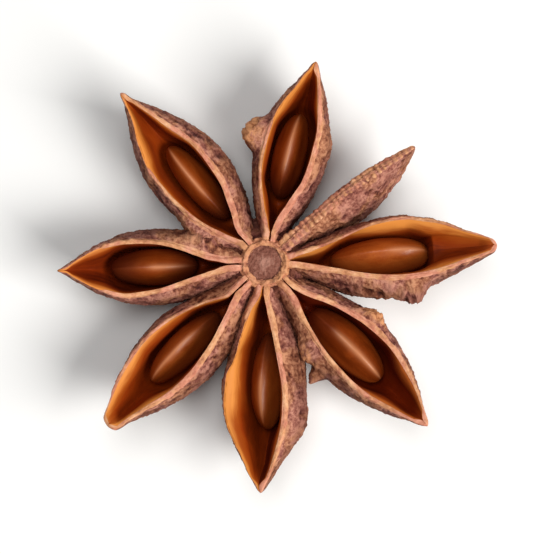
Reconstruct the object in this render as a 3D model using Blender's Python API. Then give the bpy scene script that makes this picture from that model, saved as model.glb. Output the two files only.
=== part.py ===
"""Star anise pod: eight woody boat-shaped pockets round a hub, seven split open with a seed.

Run it with blender --background --python part.py, or from Blender's text editor.
Units are metres, +Z is up. The pod lies as it falls on a table, with its mouths upwards,
and rests on the keels of its pockets. The origin is under the middle of its bounding box.

Each pocket is a closed U-shaped loop (an outer contour, and an inner one joined to it over
the two lips) carried outwards from the hub along a straight arm. "Left" is the
counter-clockwise side of an arm seen from above. A lean turns the section about the arm.
"""

import math
from dataclasses import dataclass

import bmesh
import bpy
import numpy as np

MM = 0.001

# Hub, measured from the axis of the pod
HUB_CENTRE = (-0.93 * MM, 1.05 * MM)
HUB_RADIUS = 1.5 * MM
HUB_TOP = 6.45 * MM
HUB_DOME = 0.12 * MM
HUB_SIDES = 24
WEB_RADIUS = 3.3 * MM
WEB_LOW = 2.9 * MM
WEB_HIGH = 4.3 * MM
WEB_TOP = 6.0 * MM
SCAR_RADIUS = 1.75 * MM
SCAR_BOTTOM = 1.15 * MM
SCAR_SHOULDER = 1.6 * MM
SCAR_RIM = 0.25 * MM

# Shares that shape the hub's profile: the scar's dimple, the web's slopes and the dome
DIMPLE_INNER = 0.35
DIMPLE_OUTER = 0.7
DIMPLE_OUTER_RISE = 0.8
SCAR_LIP = 0.82
SCAR_SIDE_RISE = 0.5
WEB_UNDER_RADIUS = 0.85
WEB_UNDER_RISE = 0.4
WEB_SLOPE_RADIUS = 0.5
WEB_SLOPE_RISE = 0.65
DOME_RADIUS = 0.6
DOME_DROP = 0.2

# Pocket, common to all arms
ARM_START = 1.25 * MM
ROOT_STATIONS = 3
PIT_STATIONS = 7
BEAK_STATIONS = 4
SIDE_STEPS = 6
RIM_HEIGHT = 6.75 * MM
RIM_DIP = 0.3 * MM
KEEL_AT_HUB = 1.75 * MM
KEEL_LOW_INSIDE_SEED = 0.02
KEEL_HUB_POWER = 1.7
KEEL_BOW_POWER = 2.3
KEEL_SINK = 0.26 * MM
BEAK_DEPTH = 0.55 * MM
BELLY_AT = 0.54
BELLY_LEVEL = 0.36
ROOT_HALF = 0.5 * MM
ROOT_FADE = 0.2
KEEL_ROUND = 1.9
KEEL_BLUNT = 0.8
LIP_THICKNESS = 0.42 * MM
LIP_INNER_LEAST = 0.25
CREVICE_HALF = 0.1 * MM
CREVICE_DEPTH = 0.35 * MM
FLOOR_THICKNESS = 0.65 * MM
FLOOR_LEAST = 0.35
KNEE_DEPTH = 1.5 * MM
VALLEY_SHARE = 0.6
VALLEY_OPENS_OVER = 0.15
VALLEY_ROUND = 1.2
PIT_BOXINESS = 2.2
WALL_BLUNT = 0.7
WALL_LEAST = 0.5
RIDGE_HEIGHT = 0.2 * MM
RIDGE_FADE = 0.3

# Where a lean starts and over what share of an arm it grows
LEAN_START = 0.05
LEAN_OVER = 0.3

# A beak's last stretch: the share of the arm over which it narrows, and the least it keeps
TIP_SHARE = 0.03
TIP_LEAST = 0.35
TIP_LIP_SHARE = 0.05
TIP_LIP_LEAST = 0.5

# A lump of bark: its half-length along the arm, its level down the side and its spread
LUMP_LONG = 0.075
LUMP_LEVEL = 0.3
LUMP_SPREAD = 0.22

# Seed, a flattened bean standing on its edge in a pit with this gap all round
SEED_HALF_SHARE = 0.213
SEED_HALF_THICK = 1.25 * MM
SEED_HALF_DEPTH = 2.1 * MM
SEED_BELOW_RIM = 3.45 * MM
SEED_GAP = 0.36 * MM
PIT_END_GAP = 0.8 * MM
PIT_SQUARE = 3.0
SEED_BLUNT_INWARDS = 0.95
SEED_CREST = 0.18
SEED_RINGS = 9
SEED_SIDES = 10

MERGE_DISTANCE = 0.001 * MM
HUSK_CREASE = 40.0
SEED_CREASE = 60.0
HUSK_ROUGHNESS = 0.6
SEED_ROUGHNESS = 0.25

HUSK_COLOUR = (0.24, 0.085, 0.032, 1.0)
SEED_COLOUR = (0.23, 0.062, 0.016, 1.0)


@dataclass(frozen=True)
class Arm:
    """One pocket. Lengths are in millimetres, angles in degrees, the rest are fractions."""

    name: str
    heading: float
    length: float
    lip_half: float
    lip_shift: float
    belly_half: float
    lean: float
    open_from: float = 0.14
    widest: float = 0.59
    beak: float = 1.0
    beak_rise: float = 1.1
    keel_lift: float = 0.0
    seed_at: float = 0.515
    seed_shift: float = 0.0
    seed_wide: float = 1.0
    seed_blunt: float = 0.95
    belly_beak: float = 1.0
    lump_side: int = 0
    lump_at: float = 0.6
    lump: float = 0.0
    shut: bool = False


ARMS = (
    Arm("a", 130.4, 16.7, 1.97, 0.26, 2.95, 6.0, widest=0.53, beak=1.35, beak_rise=1.3,
        seed_at=0.475, seed_wide=0.92, belly_beak=1.4, lump_side=1, lump_at=0.29, lump=0.5),
    Arm("b", 75.7, 15.6, 1.93, 0.35, 2.72, 5.0, open_from=0.15, widest=0.56, beak_rise=1.0,
        keel_lift=0.15, seed_at=0.535, seed_shift=0.15, seed_wide=1.0, lump_side=1, lump_at=0.60, lump=1.0),
    Arm("c", 38.0, 14.3, 0.30, 0.5, 1.15, 24.0, open_from=0.05, widest=0.55, beak_rise=0.5,
        keel_lift=0.7, shut=True),
    Arm("d", 4.5, 17.5, 2.3, 0.4, 2.9, 15.0, open_from=0.11, widest=0.61, beak_rise=1.2,
        seed_at=0.5, seed_shift=0.24, seed_wide=1.16, seed_blunt=0.7, lump_side=-1,
        lump_at=0.63, lump=0.75),
    Arm("e", -45.0, 17.3, 2.07, 0.29, 2.95, 5.0, widest=0.6, beak_rise=1.5, keel_lift=0.2,
        seed_at=0.51, seed_wide=1.25, lump_side=1, lump_at=0.51, lump=0.5),
    Arm("f", -91.2, 17.3, 2.4, -0.55, 3.1, -17.0, widest=0.6, beak_rise=0.9, seed_at=0.52,
        seed_wide=1.0, lump_side=1, lump_at=0.70, lump=0.7),
    Arm("g", -133.9, 17.0, 2.2, -0.36, 2.9, -10.0, open_from=0.18, widest=0.61, beak_rise=1.4,
        keel_lift=0.1, seed_at=0.52, seed_shift=-0.2, seed_wide=1.0),
    Arm("h", 182.2, 15.6, 2.0, 0.0, 2.85, 0.0, open_from=0.18, widest=0.63, beak_rise=0.8,
        seed_at=0.54, seed_wide=1.12, lump_side=-1, lump_at=0.30, lump=0.5),
)


def lens(x, start, widest, beak=1.0):
    """A half-width that is 0 at start and at 1 and 1 at widest, with a finer beak past it."""
    u = np.clip((x - start) / (1.0 - start), 0.0, 1.0)
    warp = math.log(0.5) / math.log((widest - start) / (1.0 - start))
    shape = np.sin(math.pi * u**warp)
    shape = np.clip(shape, 0.0, 1.0)
    return np.where(x > widest, shape**beak, shape)


def rim_height(arm, x):
    """Height of the middle of the mouth: a shallow dip, and a beak that turns up."""
    return RIM_HEIGHT - RIM_DIP * np.sin(math.pi * x) + arm.beak_rise * MM * x**3


def keel_height(arm, x):
    """Height of the keel: down from the hub to its lowest point, then up like a bow."""
    low = -KEEL_SINK + arm.keel_lift * MM
    tip = rim_height(arm, 1.0) - BEAK_DEPTH
    lowest = arm.seed_at - KEEL_LOW_INSIDE_SEED
    inwards = np.clip((lowest - x) / lowest, 0.0, 1.0)
    outwards = np.clip((x - lowest) / (1.0 - lowest), 0.0, 1.0)
    hub_side = (KEEL_AT_HUB - low) * inwards**KEEL_HUB_POWER
    bow_side = (tip - low) * outwards**KEEL_BOW_POWER
    return low + hub_side + bow_side


def arm_frame(arm, x):
    """Middle of the mouth and the section's left and down directions, in the arm's frame."""
    turn = math.radians(arm.lean) * np.clip((x - LEAN_START) / LEAN_OVER, 0.0, 1.0)
    middle = np.stack([
        arm.length * MM * x,
        arm.lip_shift * MM * lens(x, 0.0, arm.widest),
        rim_height(arm, x),
    ], axis=-1)
    zero = np.zeros_like(x)
    left = np.stack([zero, np.cos(turn), -np.sin(turn)], axis=-1)
    down = np.stack([zero, -np.sin(turn), -np.cos(turn)], axis=-1)
    return middle, left, down


def place(arm, points):
    """Turn points from the arm's frame to the pod's, and shift them to the hub."""
    heading = math.radians(arm.heading)
    out = points.copy()
    out[..., 0] = points[..., 0] * math.cos(heading) - points[..., 1] * math.sin(heading)
    out[..., 1] = points[..., 0] * math.sin(heading) + points[..., 1] * math.cos(heading)
    out[..., 0] += HUB_CENTRE[0]
    out[..., 1] += HUB_CENTRE[1]
    return out


def pit_half_share(arm):
    """Half the length of the seed's pit, as a share of the arm's length."""
    return SEED_HALF_SHARE + PIT_END_GAP / (arm.length * MM)


def pit_share(arm, x):
    """How wide and deep the seed's pit is along an arm: 1 by the seed's middle, 0 past its ends."""
    away = np.abs(x - arm.seed_at) / pit_half_share(arm)
    return np.clip(1.0 - away**PIT_SQUARE, 0.0, 1.0) ** (1.0 / PIT_SQUARE)


def arm_stations(arm):
    """Shares of the arm's length where it has a section: root, pit, then beak."""
    start = ARM_START / (arm.length * MM)
    first = arm.seed_at - pit_half_share(arm)
    last = arm.seed_at + pit_half_share(arm)
    root = np.linspace(start, first, ROOT_STATIONS + 1)[:-1]
    eased = 0.5 - 0.5 * np.cos(np.linspace(0.0, math.pi, PIT_STATIONS + 1))
    beak = np.linspace(last, 1.0, BEAK_STATIONS + 1)[1:]
    return np.concatenate([root, first + (last - first) * eased, beak])


def arm_grid(arm):
    """Section loops along an arm: outer contour left to right, then inner right to left."""
    x = arm_stations(arm)[:, None]

    side = np.linspace(-1.0, 1.0, 2 * SIDE_STEPS + 1)[None, :]
    hand = -np.sign(side)
    level = np.sin(0.5 * math.pi * (1.0 - np.abs(side)))

    depth = rim_height(arm, x) - keel_height(arm, x)
    depth = depth / math.cos(math.radians(arm.lean))
    lip = CREVICE_HALF + 0.5 * LIP_THICKNESS
    lip = lip + (arm.lip_half * MM - lip) * lens(x, arm.open_from, arm.widest, arm.beak)
    lip = lip * np.clip((1.0 - x) / TIP_SHARE, TIP_LEAST, 1.0)
    edge = 0.5 * LIP_THICKNESS
    lip_outer = lip + edge * np.clip((1.0 - x) / TIP_LIP_SHARE, TIP_LIP_LEAST, 1.0)
    lip_inner = np.maximum(lip - edge, LIP_INNER_LEAST * lip)

    swell = arm.belly_half * MM * lens(x, 0.0, BELLY_AT, arm.belly_beak)
    least = ROOT_HALF * np.clip((1.0 - x) / ROOT_FADE, 0.0, 1.0)
    belly = np.maximum(np.maximum(swell, least), lip_outer)
    near_lip = np.sin(0.5 * math.pi * np.clip(level / BELLY_LEVEL, 0.0, 1.0))
    lump_away = ((x - arm.lump_at) / LUMP_LONG) ** 2 + ((level - LUMP_LEVEL) / LUMP_SPREAD) ** 2
    lump = arm.lump * MM * np.exp(-lump_away)
    outer_half = lip_outer + (belly - lip_outer) * near_lip
    outer_half = outer_half + np.where(hand == arm.lump_side, lump, 0.0)
    outer_half = outer_half * np.cos(0.5 * math.pi * level**KEEL_ROUND) ** KEEL_BLUNT
    outer_down = depth * level

    pit = pit_share(arm, x)
    opened = np.clip((x - arm.open_from) / VALLEY_OPENS_OVER, 0.0, 1.0)
    floor = np.maximum(depth - FLOOR_THICKNESS, FLOOR_LEAST * depth)
    valley = CREVICE_DEPTH + (VALLEY_SHARE * floor - CREVICE_DEPTH) * opened
    pit_bottom = np.sign(pit) * SEED_BELOW_RIM + (SEED_HALF_DEPTH + SEED_GAP) * pit
    cavity = np.minimum(np.maximum(valley, pit_bottom), floor)
    pit_half = (SEED_HALF_THICK * arm.seed_wide + SEED_GAP) * pit
    wall = np.maximum(pit_half, WALL_LEAST * np.maximum(lip_inner, CREVICE_HALF))
    inner_down = cavity * level
    knee = np.clip(inner_down / KNEE_DEPTH, 0.0, 1.0)
    boxy = VALLEY_ROUND + PIT_BOXINESS * pit
    narrowing = np.clip(np.cos(0.5 * math.pi * level**boxy), 0.0, 1.0) ** WALL_BLUNT
    inner_half = (lip_inner + (wall - lip_inner) * knee) * narrowing
    inner_shift = arm.seed_shift * MM * pit * knee
    if arm.shut:
        inner_half = lip_inner * (1.0 - level)
        inner_down = -RIDGE_HEIGHT * np.sin(0.5 * math.pi * level) * (1.0 - x) ** RIDGE_FADE
        inner_shift = 0.0 * level

    middle, left, down = (part[:, None, :] for part in arm_frame(arm, x[:, 0]))
    outer = middle + left * (hand * outer_half)[..., None] + down * outer_down[..., None]
    inner_across = hand * inner_half + inner_shift
    inner = middle + left * inner_across[..., None] + down * inner_down[..., None]
    loops = np.concatenate([outer, inner[:, ::-1]], axis=1)
    loops[..., 2] = np.maximum(loops[..., 2], 0.0)
    return place(arm, loops)


def loft_faces(rings, count):
    """Quads between neighbouring loops, with each end zipped from outer to inner contour."""
    faces = []
    for ring in range(rings - 1):
        for k in range(count):
            after = (k + 1) % count
            faces.append((
                ring * count + k, ring * count + after,
                (ring + 1) * count + after, (ring + 1) * count + k,
            ))
    for ring, flip in ((0, True), (rings - 1, False)):
        base = ring * count
        for k in range(count // 2 - 1):
            quad = (base + k, base + k + 1, base + count - 2 - k, base + count - 1 - k)
            faces.append(quad[::-1] if flip else quad)
    return faces


def mesh_object(name, points, faces, material=None, guide=False):
    """Make an object from points and faces, with its normals turned outwards."""
    mesh = bpy.data.meshes.new(name)
    mesh.from_pydata([tuple(point) for point in points], [], faces)
    shell = bmesh.new()
    shell.from_mesh(mesh)
    bmesh.ops.remove_doubles(shell, verts=shell.verts, dist=MERGE_DISTANCE)
    bmesh.ops.triangulate(shell, faces=shell.faces)
    bmesh.ops.dissolve_degenerate(shell, dist=MERGE_DISTANCE, edges=shell.edges)
    bmesh.ops.recalc_face_normals(shell, faces=shell.faces)
    shell.to_mesh(mesh)
    shell.free()
    item = bpy.data.objects.new(name, mesh)
    bpy.context.collection.objects.link(item)
    if material is not None:
        mesh.materials.append(material)
    if guide:
        item.hide_render = True
        item.display_type = "WIRE"
    return item


def finish(name, colour, roughness):
    """A plain Principled material."""
    material = bpy.data.materials.new(name)
    material.use_nodes = True
    shader = material.node_tree.nodes["Principled BSDF"]
    shader.inputs["Base Color"].default_value = colour
    shader.inputs["Roughness"].default_value = roughness
    return material


def smooth(item, angle):
    """Shade round surfaces smooth and keep edges sharper than angle."""
    item.data.shade_smooth()
    item.data.set_sharp_from_angle(angle=math.radians(angle))


def turned_points(profile, sides):
    """Spin a profile of (radius, height) pairs about the hub's axis."""
    turn = np.arange(sides) * (2.0 * math.pi / sides)
    radius = np.array([point[0] for point in profile])[:, None]
    height = np.array([point[1] for point in profile])[:, None]
    x = HUB_CENTRE[0] + radius * np.cos(turn)
    y = HUB_CENTRE[1] + radius * np.sin(turn)
    return np.stack([x, y, height + np.zeros_like(x)], axis=-1).reshape(-1, 3)


def build_hub(material):
    """The column between the pockets, domed on top, with a stalk scar below."""
    under_rise = WEB_UNDER_RISE * (WEB_LOW - SCAR_SHOULDER)
    slope_run = WEB_SLOPE_RADIUS * (WEB_RADIUS - HUB_RADIUS)
    slope_rise = WEB_SLOPE_RISE * (WEB_TOP - WEB_HIGH)
    profile = (
        (DIMPLE_INNER * SCAR_RADIUS, SCAR_BOTTOM + SCAR_RIM),
        (DIMPLE_OUTER * SCAR_RADIUS, SCAR_BOTTOM + DIMPLE_OUTER_RISE * SCAR_RIM),
        (SCAR_LIP * SCAR_RADIUS, SCAR_BOTTOM),
        (SCAR_RADIUS, SCAR_BOTTOM + SCAR_SIDE_RISE * SCAR_RIM),
        (SCAR_RADIUS, SCAR_SHOULDER),
        (WEB_UNDER_RADIUS * WEB_RADIUS, SCAR_SHOULDER + under_rise),
        (WEB_RADIUS, WEB_LOW),
        (WEB_RADIUS, WEB_HIGH),
        (WEB_RADIUS - slope_run, WEB_HIGH + slope_rise),
        (HUB_RADIUS, WEB_TOP),
        (HUB_RADIUS, HUB_TOP - HUB_DOME),
        (DOME_RADIUS * HUB_RADIUS, HUB_TOP - DOME_DROP * HUB_DOME),
    )
    points = turned_points(profile, HUB_SIDES)
    low = (HUB_CENTRE[0], HUB_CENTRE[1], SCAR_BOTTOM + SCAR_RIM)
    high = (HUB_CENTRE[0], HUB_CENTRE[1], HUB_TOP)
    bottom_pole = len(points)
    top_pole = bottom_pole + 1
    points = np.vstack([points, low, high])
    faces = []
    for k in range(HUB_SIDES):
        after = (k + 1) % HUB_SIDES
        for ring in range(len(profile) - 1):
            base = ring * HUB_SIDES
            faces.append((base + k, base + after, base + HUB_SIDES + after, base + HUB_SIDES + k))
        last = (len(profile) - 1) * HUB_SIDES
        faces.append((bottom_pole, after, k))
        faces.append((last + k, last + after, top_pole))
    return mesh_object("husk", points, faces, material)


def build_arm(arm):
    """One pocket as a guide shell that is joined to the hub."""
    loops = arm_grid(arm)
    rings, count = loops.shape[:2]
    faces = loft_faces(rings, count)
    return mesh_object(f"arm_{arm.name}", loops.reshape(-1, 3), faces, guide=True)


def build_husk(material):
    """Hub and pockets united into one solid."""
    husk = build_hub(material)
    for arm in ARMS:
        joint = husk.modifiers.new(f"join_{arm.name}", "BOOLEAN")
        joint.operation = "UNION"
        joint.solver = "EXACT"
        joint.object = build_arm(arm)
    smooth(husk, HUSK_CREASE)
    return husk


def build_seed(arm, material):
    """A flattened bean in its chamber: thick in the middle, blunt outwards, crested on top."""
    along = np.linspace(0.0, math.pi, SEED_RINGS + 2)[1:-1][:, None]
    around = (np.arange(SEED_SIDES) * (2.0 * math.pi / SEED_SIDES))[None, :]
    x = arm.seed_at - SEED_HALF_SHARE * np.cos(along) + np.zeros_like(around)
    blunt = np.where(along > 0.5 * math.pi, arm.seed_blunt, SEED_BLUNT_INWARDS)
    girth = np.sin(along) ** blunt
    crest = 1.0 - SEED_CREST * np.clip(np.sin(around), 0.0, 1.0) ** 2
    thick = SEED_HALF_THICK * arm.seed_wide
    across = arm.seed_shift * MM + thick * girth * np.cos(around) * crest
    below = SEED_BELOW_RIM - SEED_HALF_DEPTH * girth * np.sin(around)

    middle, left, down = arm_frame(arm, x)
    points = middle + left * across[..., None] + down * below[..., None]
    middle, left, down = arm_frame(arm, arm.seed_at + SEED_HALF_SHARE * np.array([-1.0, 1.0]))
    ends = middle + left * arm.seed_shift * MM + down * SEED_BELOW_RIM
    points = np.vstack([points.reshape(-1, 3), ends])

    faces = []
    first_pole = SEED_RINGS * SEED_SIDES
    last = (SEED_RINGS - 1) * SEED_SIDES
    for k in range(SEED_SIDES):
        after = (k + 1) % SEED_SIDES
        for ring in range(SEED_RINGS - 1):
            row = ring * SEED_SIDES
            faces.append((row + k, row + after, row + SEED_SIDES + after, row + SEED_SIDES + k))
        faces.append((first_pole, after, k))
        faces.append((last + k, last + after, first_pole + 1))
    seed = mesh_object(f"seed_{arm.name}", place(arm, points), faces, material)
    smooth(seed, SEED_CREASE)
    return seed


def main():
    """Clear the scene, then build the husk and its seeds."""
    for item in list(bpy.data.objects):
        bpy.data.objects.remove(item, do_unlink=True)
    build_husk(finish("husk", HUSK_COLOUR, HUSK_ROUGHNESS))
    seed_finish = finish("seed", SEED_COLOUR, SEED_ROUGHNESS)
    for arm in ARMS:
        if not arm.shut:
            build_seed(arm, seed_finish)


main()
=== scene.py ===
"""Star anise pod: eight woody pockets round a hub, seven of them split open with a glossy seed.

Lengths are in metres and +Z is up, out of the mouths of the pockets, unless a name says that
it is in millimetres. An arm is the straight line from the hub's axis to a pocket's tip, and
"along" is a share of it, 0 at the axis and 1 at the tip. "Left" is the counter-clockwise side
of an arm seen from above. "Level" is a share of a pocket's depth, 0 at its lips and 1 below.
"""

import logging
import math
from collections.abc import Mapping
from dataclasses import dataclass, field
from enum import Enum

import bpy
import numpy as np
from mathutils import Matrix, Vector


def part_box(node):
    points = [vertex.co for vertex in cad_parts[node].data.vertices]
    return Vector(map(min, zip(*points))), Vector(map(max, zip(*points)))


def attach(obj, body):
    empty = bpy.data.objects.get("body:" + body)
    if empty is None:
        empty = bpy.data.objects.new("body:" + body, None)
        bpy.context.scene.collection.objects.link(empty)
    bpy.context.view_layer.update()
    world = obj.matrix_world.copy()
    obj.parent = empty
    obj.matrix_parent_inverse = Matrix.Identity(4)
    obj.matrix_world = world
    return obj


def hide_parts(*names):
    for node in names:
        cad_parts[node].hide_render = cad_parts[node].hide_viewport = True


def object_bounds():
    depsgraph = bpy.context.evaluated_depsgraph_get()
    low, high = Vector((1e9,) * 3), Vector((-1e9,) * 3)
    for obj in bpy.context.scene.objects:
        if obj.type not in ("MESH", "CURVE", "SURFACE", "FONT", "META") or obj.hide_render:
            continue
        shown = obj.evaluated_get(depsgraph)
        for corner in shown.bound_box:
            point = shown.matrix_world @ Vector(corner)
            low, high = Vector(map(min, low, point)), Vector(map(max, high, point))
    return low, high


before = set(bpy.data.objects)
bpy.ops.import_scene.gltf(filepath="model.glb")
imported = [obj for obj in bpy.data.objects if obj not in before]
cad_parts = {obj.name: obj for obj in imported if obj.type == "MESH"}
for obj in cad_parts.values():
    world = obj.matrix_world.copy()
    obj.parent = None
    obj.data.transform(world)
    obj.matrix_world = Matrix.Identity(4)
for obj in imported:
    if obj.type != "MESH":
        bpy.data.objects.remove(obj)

CAD_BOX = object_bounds()
BODY = "root"
MM = 0.001
HALF_TURN = math.pi
QUARTER_TURN = 0.5 * math.pi
FULL_TURN = 2.0 * math.pi

Colour = tuple[float, float, float]
Ramp = tuple[tuple[float, Colour], ...]
Pair = tuple[float, float]
Three = tuple[float, float, float]
Edges = tuple[float, float, float]
Pitch = tuple[float, float, float]
Array = np.ndarray
Numbers = Array | float
Socket = bpy.types.NodeSocket
Terms = "Value | Socket | float"

WHITE: Colour = (1.0, 1.0, 1.0)

log = logging.getLogger("star_anise")


# ---------------------------------------------------------------- arithmetic on arrays


def ease(values: Array, low: float, high: float) -> Array:
    """Rise smoothly from 0 at low to 1 at high: t squared times (3 - 2t).

    Args:
        values: Any array.
        low: Where the rise starts.
        high: Where it ends. It may be below low, and the rise is then a fall.

    Returns:
        An array of the same shape, from 0 to 1.
    """
    t = np.clip((values - low) / (high - low), 0.0, 1.0)
    return t * t * (3.0 - 2.0 * t)


def soft_most(first: Array, second: Array, blur: float) -> Array:
    """The larger of two, with the corner where they cross rounded over about blur."""
    return 0.5 * (first + second + np.sqrt((first - second) ** 2 + blur**2))


def bell(values: Array, middle: float, half: float) -> Array:
    """A hump of height 1 at middle: e to the minus square of the distance in half-widths."""
    return np.exp(-(((values - middle) / half) ** 2))


@dataclass(frozen=True)
class Grain:
    """Seeded random relief on a cubic lattice, worked out for whole arrays of points."""

    seed: int

    WORD = 0xFFFFFFFF
    STEPS = (374761393, 668265263, 1274126177)
    ROUNDS = ((15, 0x2C1B3C6D), (12, 0x297A2D39))
    AXES_APART = 53
    ROUGH_APART = 17.3
    CREASES_APART = 9.1
    GAIN = 1.6

    def corner(self, cell: Array, axis: int) -> Array:
        """Mix a lattice corner's three whole numbers, the seed and an axis into one number.

        Args:
            cell: Array of (..., 3) corners.
            axis: 0, 1 or 2.

        Returns:
            Array of (...) slopes, from -1 to 1.
        """
        seed = self.seed + self.AXES_APART * axis
        mixed = (cell @ np.array(self.STEPS) + seed * self.STEPS[0]) & self.WORD
        for shift, factor in self.ROUNDS:
            mixed = ((mixed ^ (mixed >> shift)) * factor) & self.WORD
        mixed = mixed ^ (mixed >> self.ROUNDS[0][0])
        return mixed * (2.0 / self.WORD) - 1.0

    def smooth(self, points: Array) -> Array:
        """Noise of pitch 1: the slopes at the eight corners round a point, blended smoothly.

        Each corner has a slope along each axis. A corner gives the sum of its slopes times the
        distances from it, and the eight are blended by 6t^5 - 15t^4 + 10t^3 along each axis.

        Args:
            points: Array of (..., 3) places, in lattice cells.

        Returns:
            Array of (...) heights, nearly all from -1 to 1.
        """
        cell = np.floor(points).astype(np.int64)
        off = points - cell
        share = off * off * off * (off * (6.0 * off - 15.0) + 10.0)
        total = np.zeros(points.shape[:-1])
        for corner in np.ndindex(2, 2, 2):
            step = np.array(corner)
            picked = np.where(step == 1, share, 1.0 - share).prod(axis=-1)
            slopes = [self.corner(cell + step, k) * (off[..., k] - step[k]) for k in range(3)]
            total += picked * sum(slopes)
        return self.GAIN * total

    def rough(self, points: Array, octaves: int) -> Array:
        """Sum of noise whose pitch and height halve with each octave, about -1 to 1.

        Args:
            points: Array of (..., 3) places, in cells of the first octave.
            octaves: How many are summed.

        Returns:
            Array of (...) heights.
        """
        shares = [0.5**k for k in range(octaves)]
        layers = [
            self.smooth(points * 2.0**k + self.ROUGH_APART * k) * share
            for k, share in enumerate(shares)
        ]
        return sum(layers) / sum(shares)

    def creases(self, points: Array, octaves: int) -> Array:
        """Sharp-edged folds: 1 - 2|noise| on each octave, summed as in rough, -1 to 1.

        Args:
            points: Array of (..., 3) places, in cells of the first octave.
            octaves: How many are summed.

        Returns:
            Array of (...) heights.
        """
        shares = [0.5**k for k in range(octaves)]
        layers = [
            (1.0 - 2.0 * np.abs(self.smooth(points * 2.0**k + self.CREASES_APART * k))) * share
            for k, share in enumerate(shares)
        ]
        return sum(layers) / sum(shares)


# ---------------------------------------------------------------- meshes from grids


@dataclass
class Loft:
    """A closed skin: rings of points, each joined to the next, with a pole at either end.

    Attributes:
        rings: (stations, points in a ring, 3) places.
        first_pole: Middle of the cap on the first ring.
        last_pole: Middle of the cap on the last ring.
        fields: Numbers per point of the rings, by name; their last axis may be 3 wide.
    """

    rings: Array
    first_pole: Array
    last_pole: Array
    fields: dict[str, Array] = field(default_factory=dict)

    CAP_SHARE = 0.012

    def normals(self) -> Array:
        """Unit normals: the cross product of the steps along the rings and round them."""
        along = np.gradient(self.rings, axis=0)
        around = np.roll(self.rings, -1, axis=1) - np.roll(self.rings, 1, axis=1)
        found = np.cross(around, along)
        return found / np.maximum(np.linalg.norm(found, axis=-1, keepdims=True), 1e-12)

    def swell(self, height: Array) -> None:
        """Move each point of the rings out along its normal by its height."""
        self.rings = self.rings + self.normals() * height[..., None]

    def corners(self) -> tuple[Array, Array]:
        """Corner numbers of the four-sided faces between rings, and of the caps' triangles.

        Returns:
            (faces, 4) for the sides and (faces, 3) for the caps.
        """
        stations, count = self.rings.shape[:2]
        ring = np.arange(stations - 1)[:, None] * count
        here = np.arange(count)[None, :]
        after = (here + 1) % count
        sides = np.stack([ring + here, ring + after, ring + count + after, ring + count + here], -1)
        first = stations * count + np.zeros(count, dtype=np.int64)
        last_ring = (stations - 1) * count
        low = np.stack([first, after[0], here[0]], -1)
        high = np.stack([first + 1, last_ring + here[0], last_ring + after[0]], -1)
        return sides.reshape(-1, 4), np.vstack([low, high])

    def unwrapped(self) -> tuple[Array, Array]:
        """Map coordinates of those faces' corners: arc length along, and arc length round.

        Returns:
            (faces, 4, 2) for the sides and (faces, 3, 2) for the caps, from 0 to 1.
        """
        stations, count = self.rings.shape[:2]
        step = np.linalg.norm(np.diff(self.rings, axis=0), axis=-1).mean(axis=1)
        u = np.concatenate([[0.0], np.cumsum(step)]) / step.sum()
        u = self.CAP_SHARE + (1.0 - 2.0 * self.CAP_SHARE) * u
        closed = np.concatenate([self.rings, self.rings[:, :1]], axis=1)
        step = np.linalg.norm(np.diff(closed, axis=1), axis=-1).mean(axis=0)
        v = np.concatenate([[0.0], np.cumsum(step)]) / step.sum()
        near, far = np.meshgrid(u[:-1], v[:-1], indexing="ij")
        near_next, far_next = np.meshgrid(u[1:], v[1:], indexing="ij")
        along = np.stack([near, near, near_next, near_next], axis=2)
        around = np.stack([far, far_next, far_next, far], axis=2)
        sides = np.stack([along, around], axis=-1).reshape(-1, 4, 2)
        middle = 0.5 * (v[:-1] + v[1:])
        edge, zero = np.full(count, self.CAP_SHARE), np.zeros(count)
        low = np.stack([zero, edge, edge, middle, v[1:], v[:-1]], axis=-1)
        high = np.stack([zero + 1.0, 1.0 - edge, 1.0 - edge, middle, v[:-1], v[1:]], axis=-1)
        return sides, np.concatenate([low, high]).reshape(-1, 2, 3).transpose(0, 2, 1)

    def mesh(self, name: str) -> bpy.types.Object:
        """Make the object, smooth-shaded, with its fields as attributes and its map.

        Args:
            name: The object's name, and its mesh's.

        Returns:
            The object.
        """
        points = np.vstack([self.rings.reshape(-1, 3), self.first_pole, self.last_pole])
        sides, caps = self.corners()
        side_map, cap_map = self.unwrapped()
        sizes = np.concatenate([np.full(len(sides), 4), np.full(len(caps), 3)])
        corners = np.concatenate([sides.ravel(), caps.ravel()])
        mesh = bpy.data.meshes.new(name)
        mesh.vertices.add(len(points))
        mesh.vertices.foreach_set("co", points.astype(np.float32).ravel())
        mesh.loops.add(len(corners))
        mesh.loops.foreach_set("vertex_index", corners.astype(np.int32))
        mesh.polygons.add(len(sizes))
        starts = np.concatenate([[0], np.cumsum(sizes)[:-1]])
        mesh.polygons.foreach_set("loop_start", starts.astype(np.int32))
        mesh.update(calc_edges=True)
        mesh.shade_smooth()
        layer = mesh.uv_layers.new(name="OFBake")
        places = np.concatenate([side_map.reshape(-1, 2), cap_map.reshape(-1, 2)])
        layer.uv.foreach_set("vector", places.astype(np.float32).ravel())
        for label, values in self.fields.items():
            store_field(mesh, label, values, self.rings.shape[:2])
        mesh.validate()
        return new_item(name, mesh)


def new_item(name: str, data: bpy.types.ID) -> bpy.types.Object:
    """Make an object of some data, and put it in the scene."""
    item = bpy.data.objects.new(name, data)
    bpy.context.scene.collection.objects.link(item)
    return item


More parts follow.
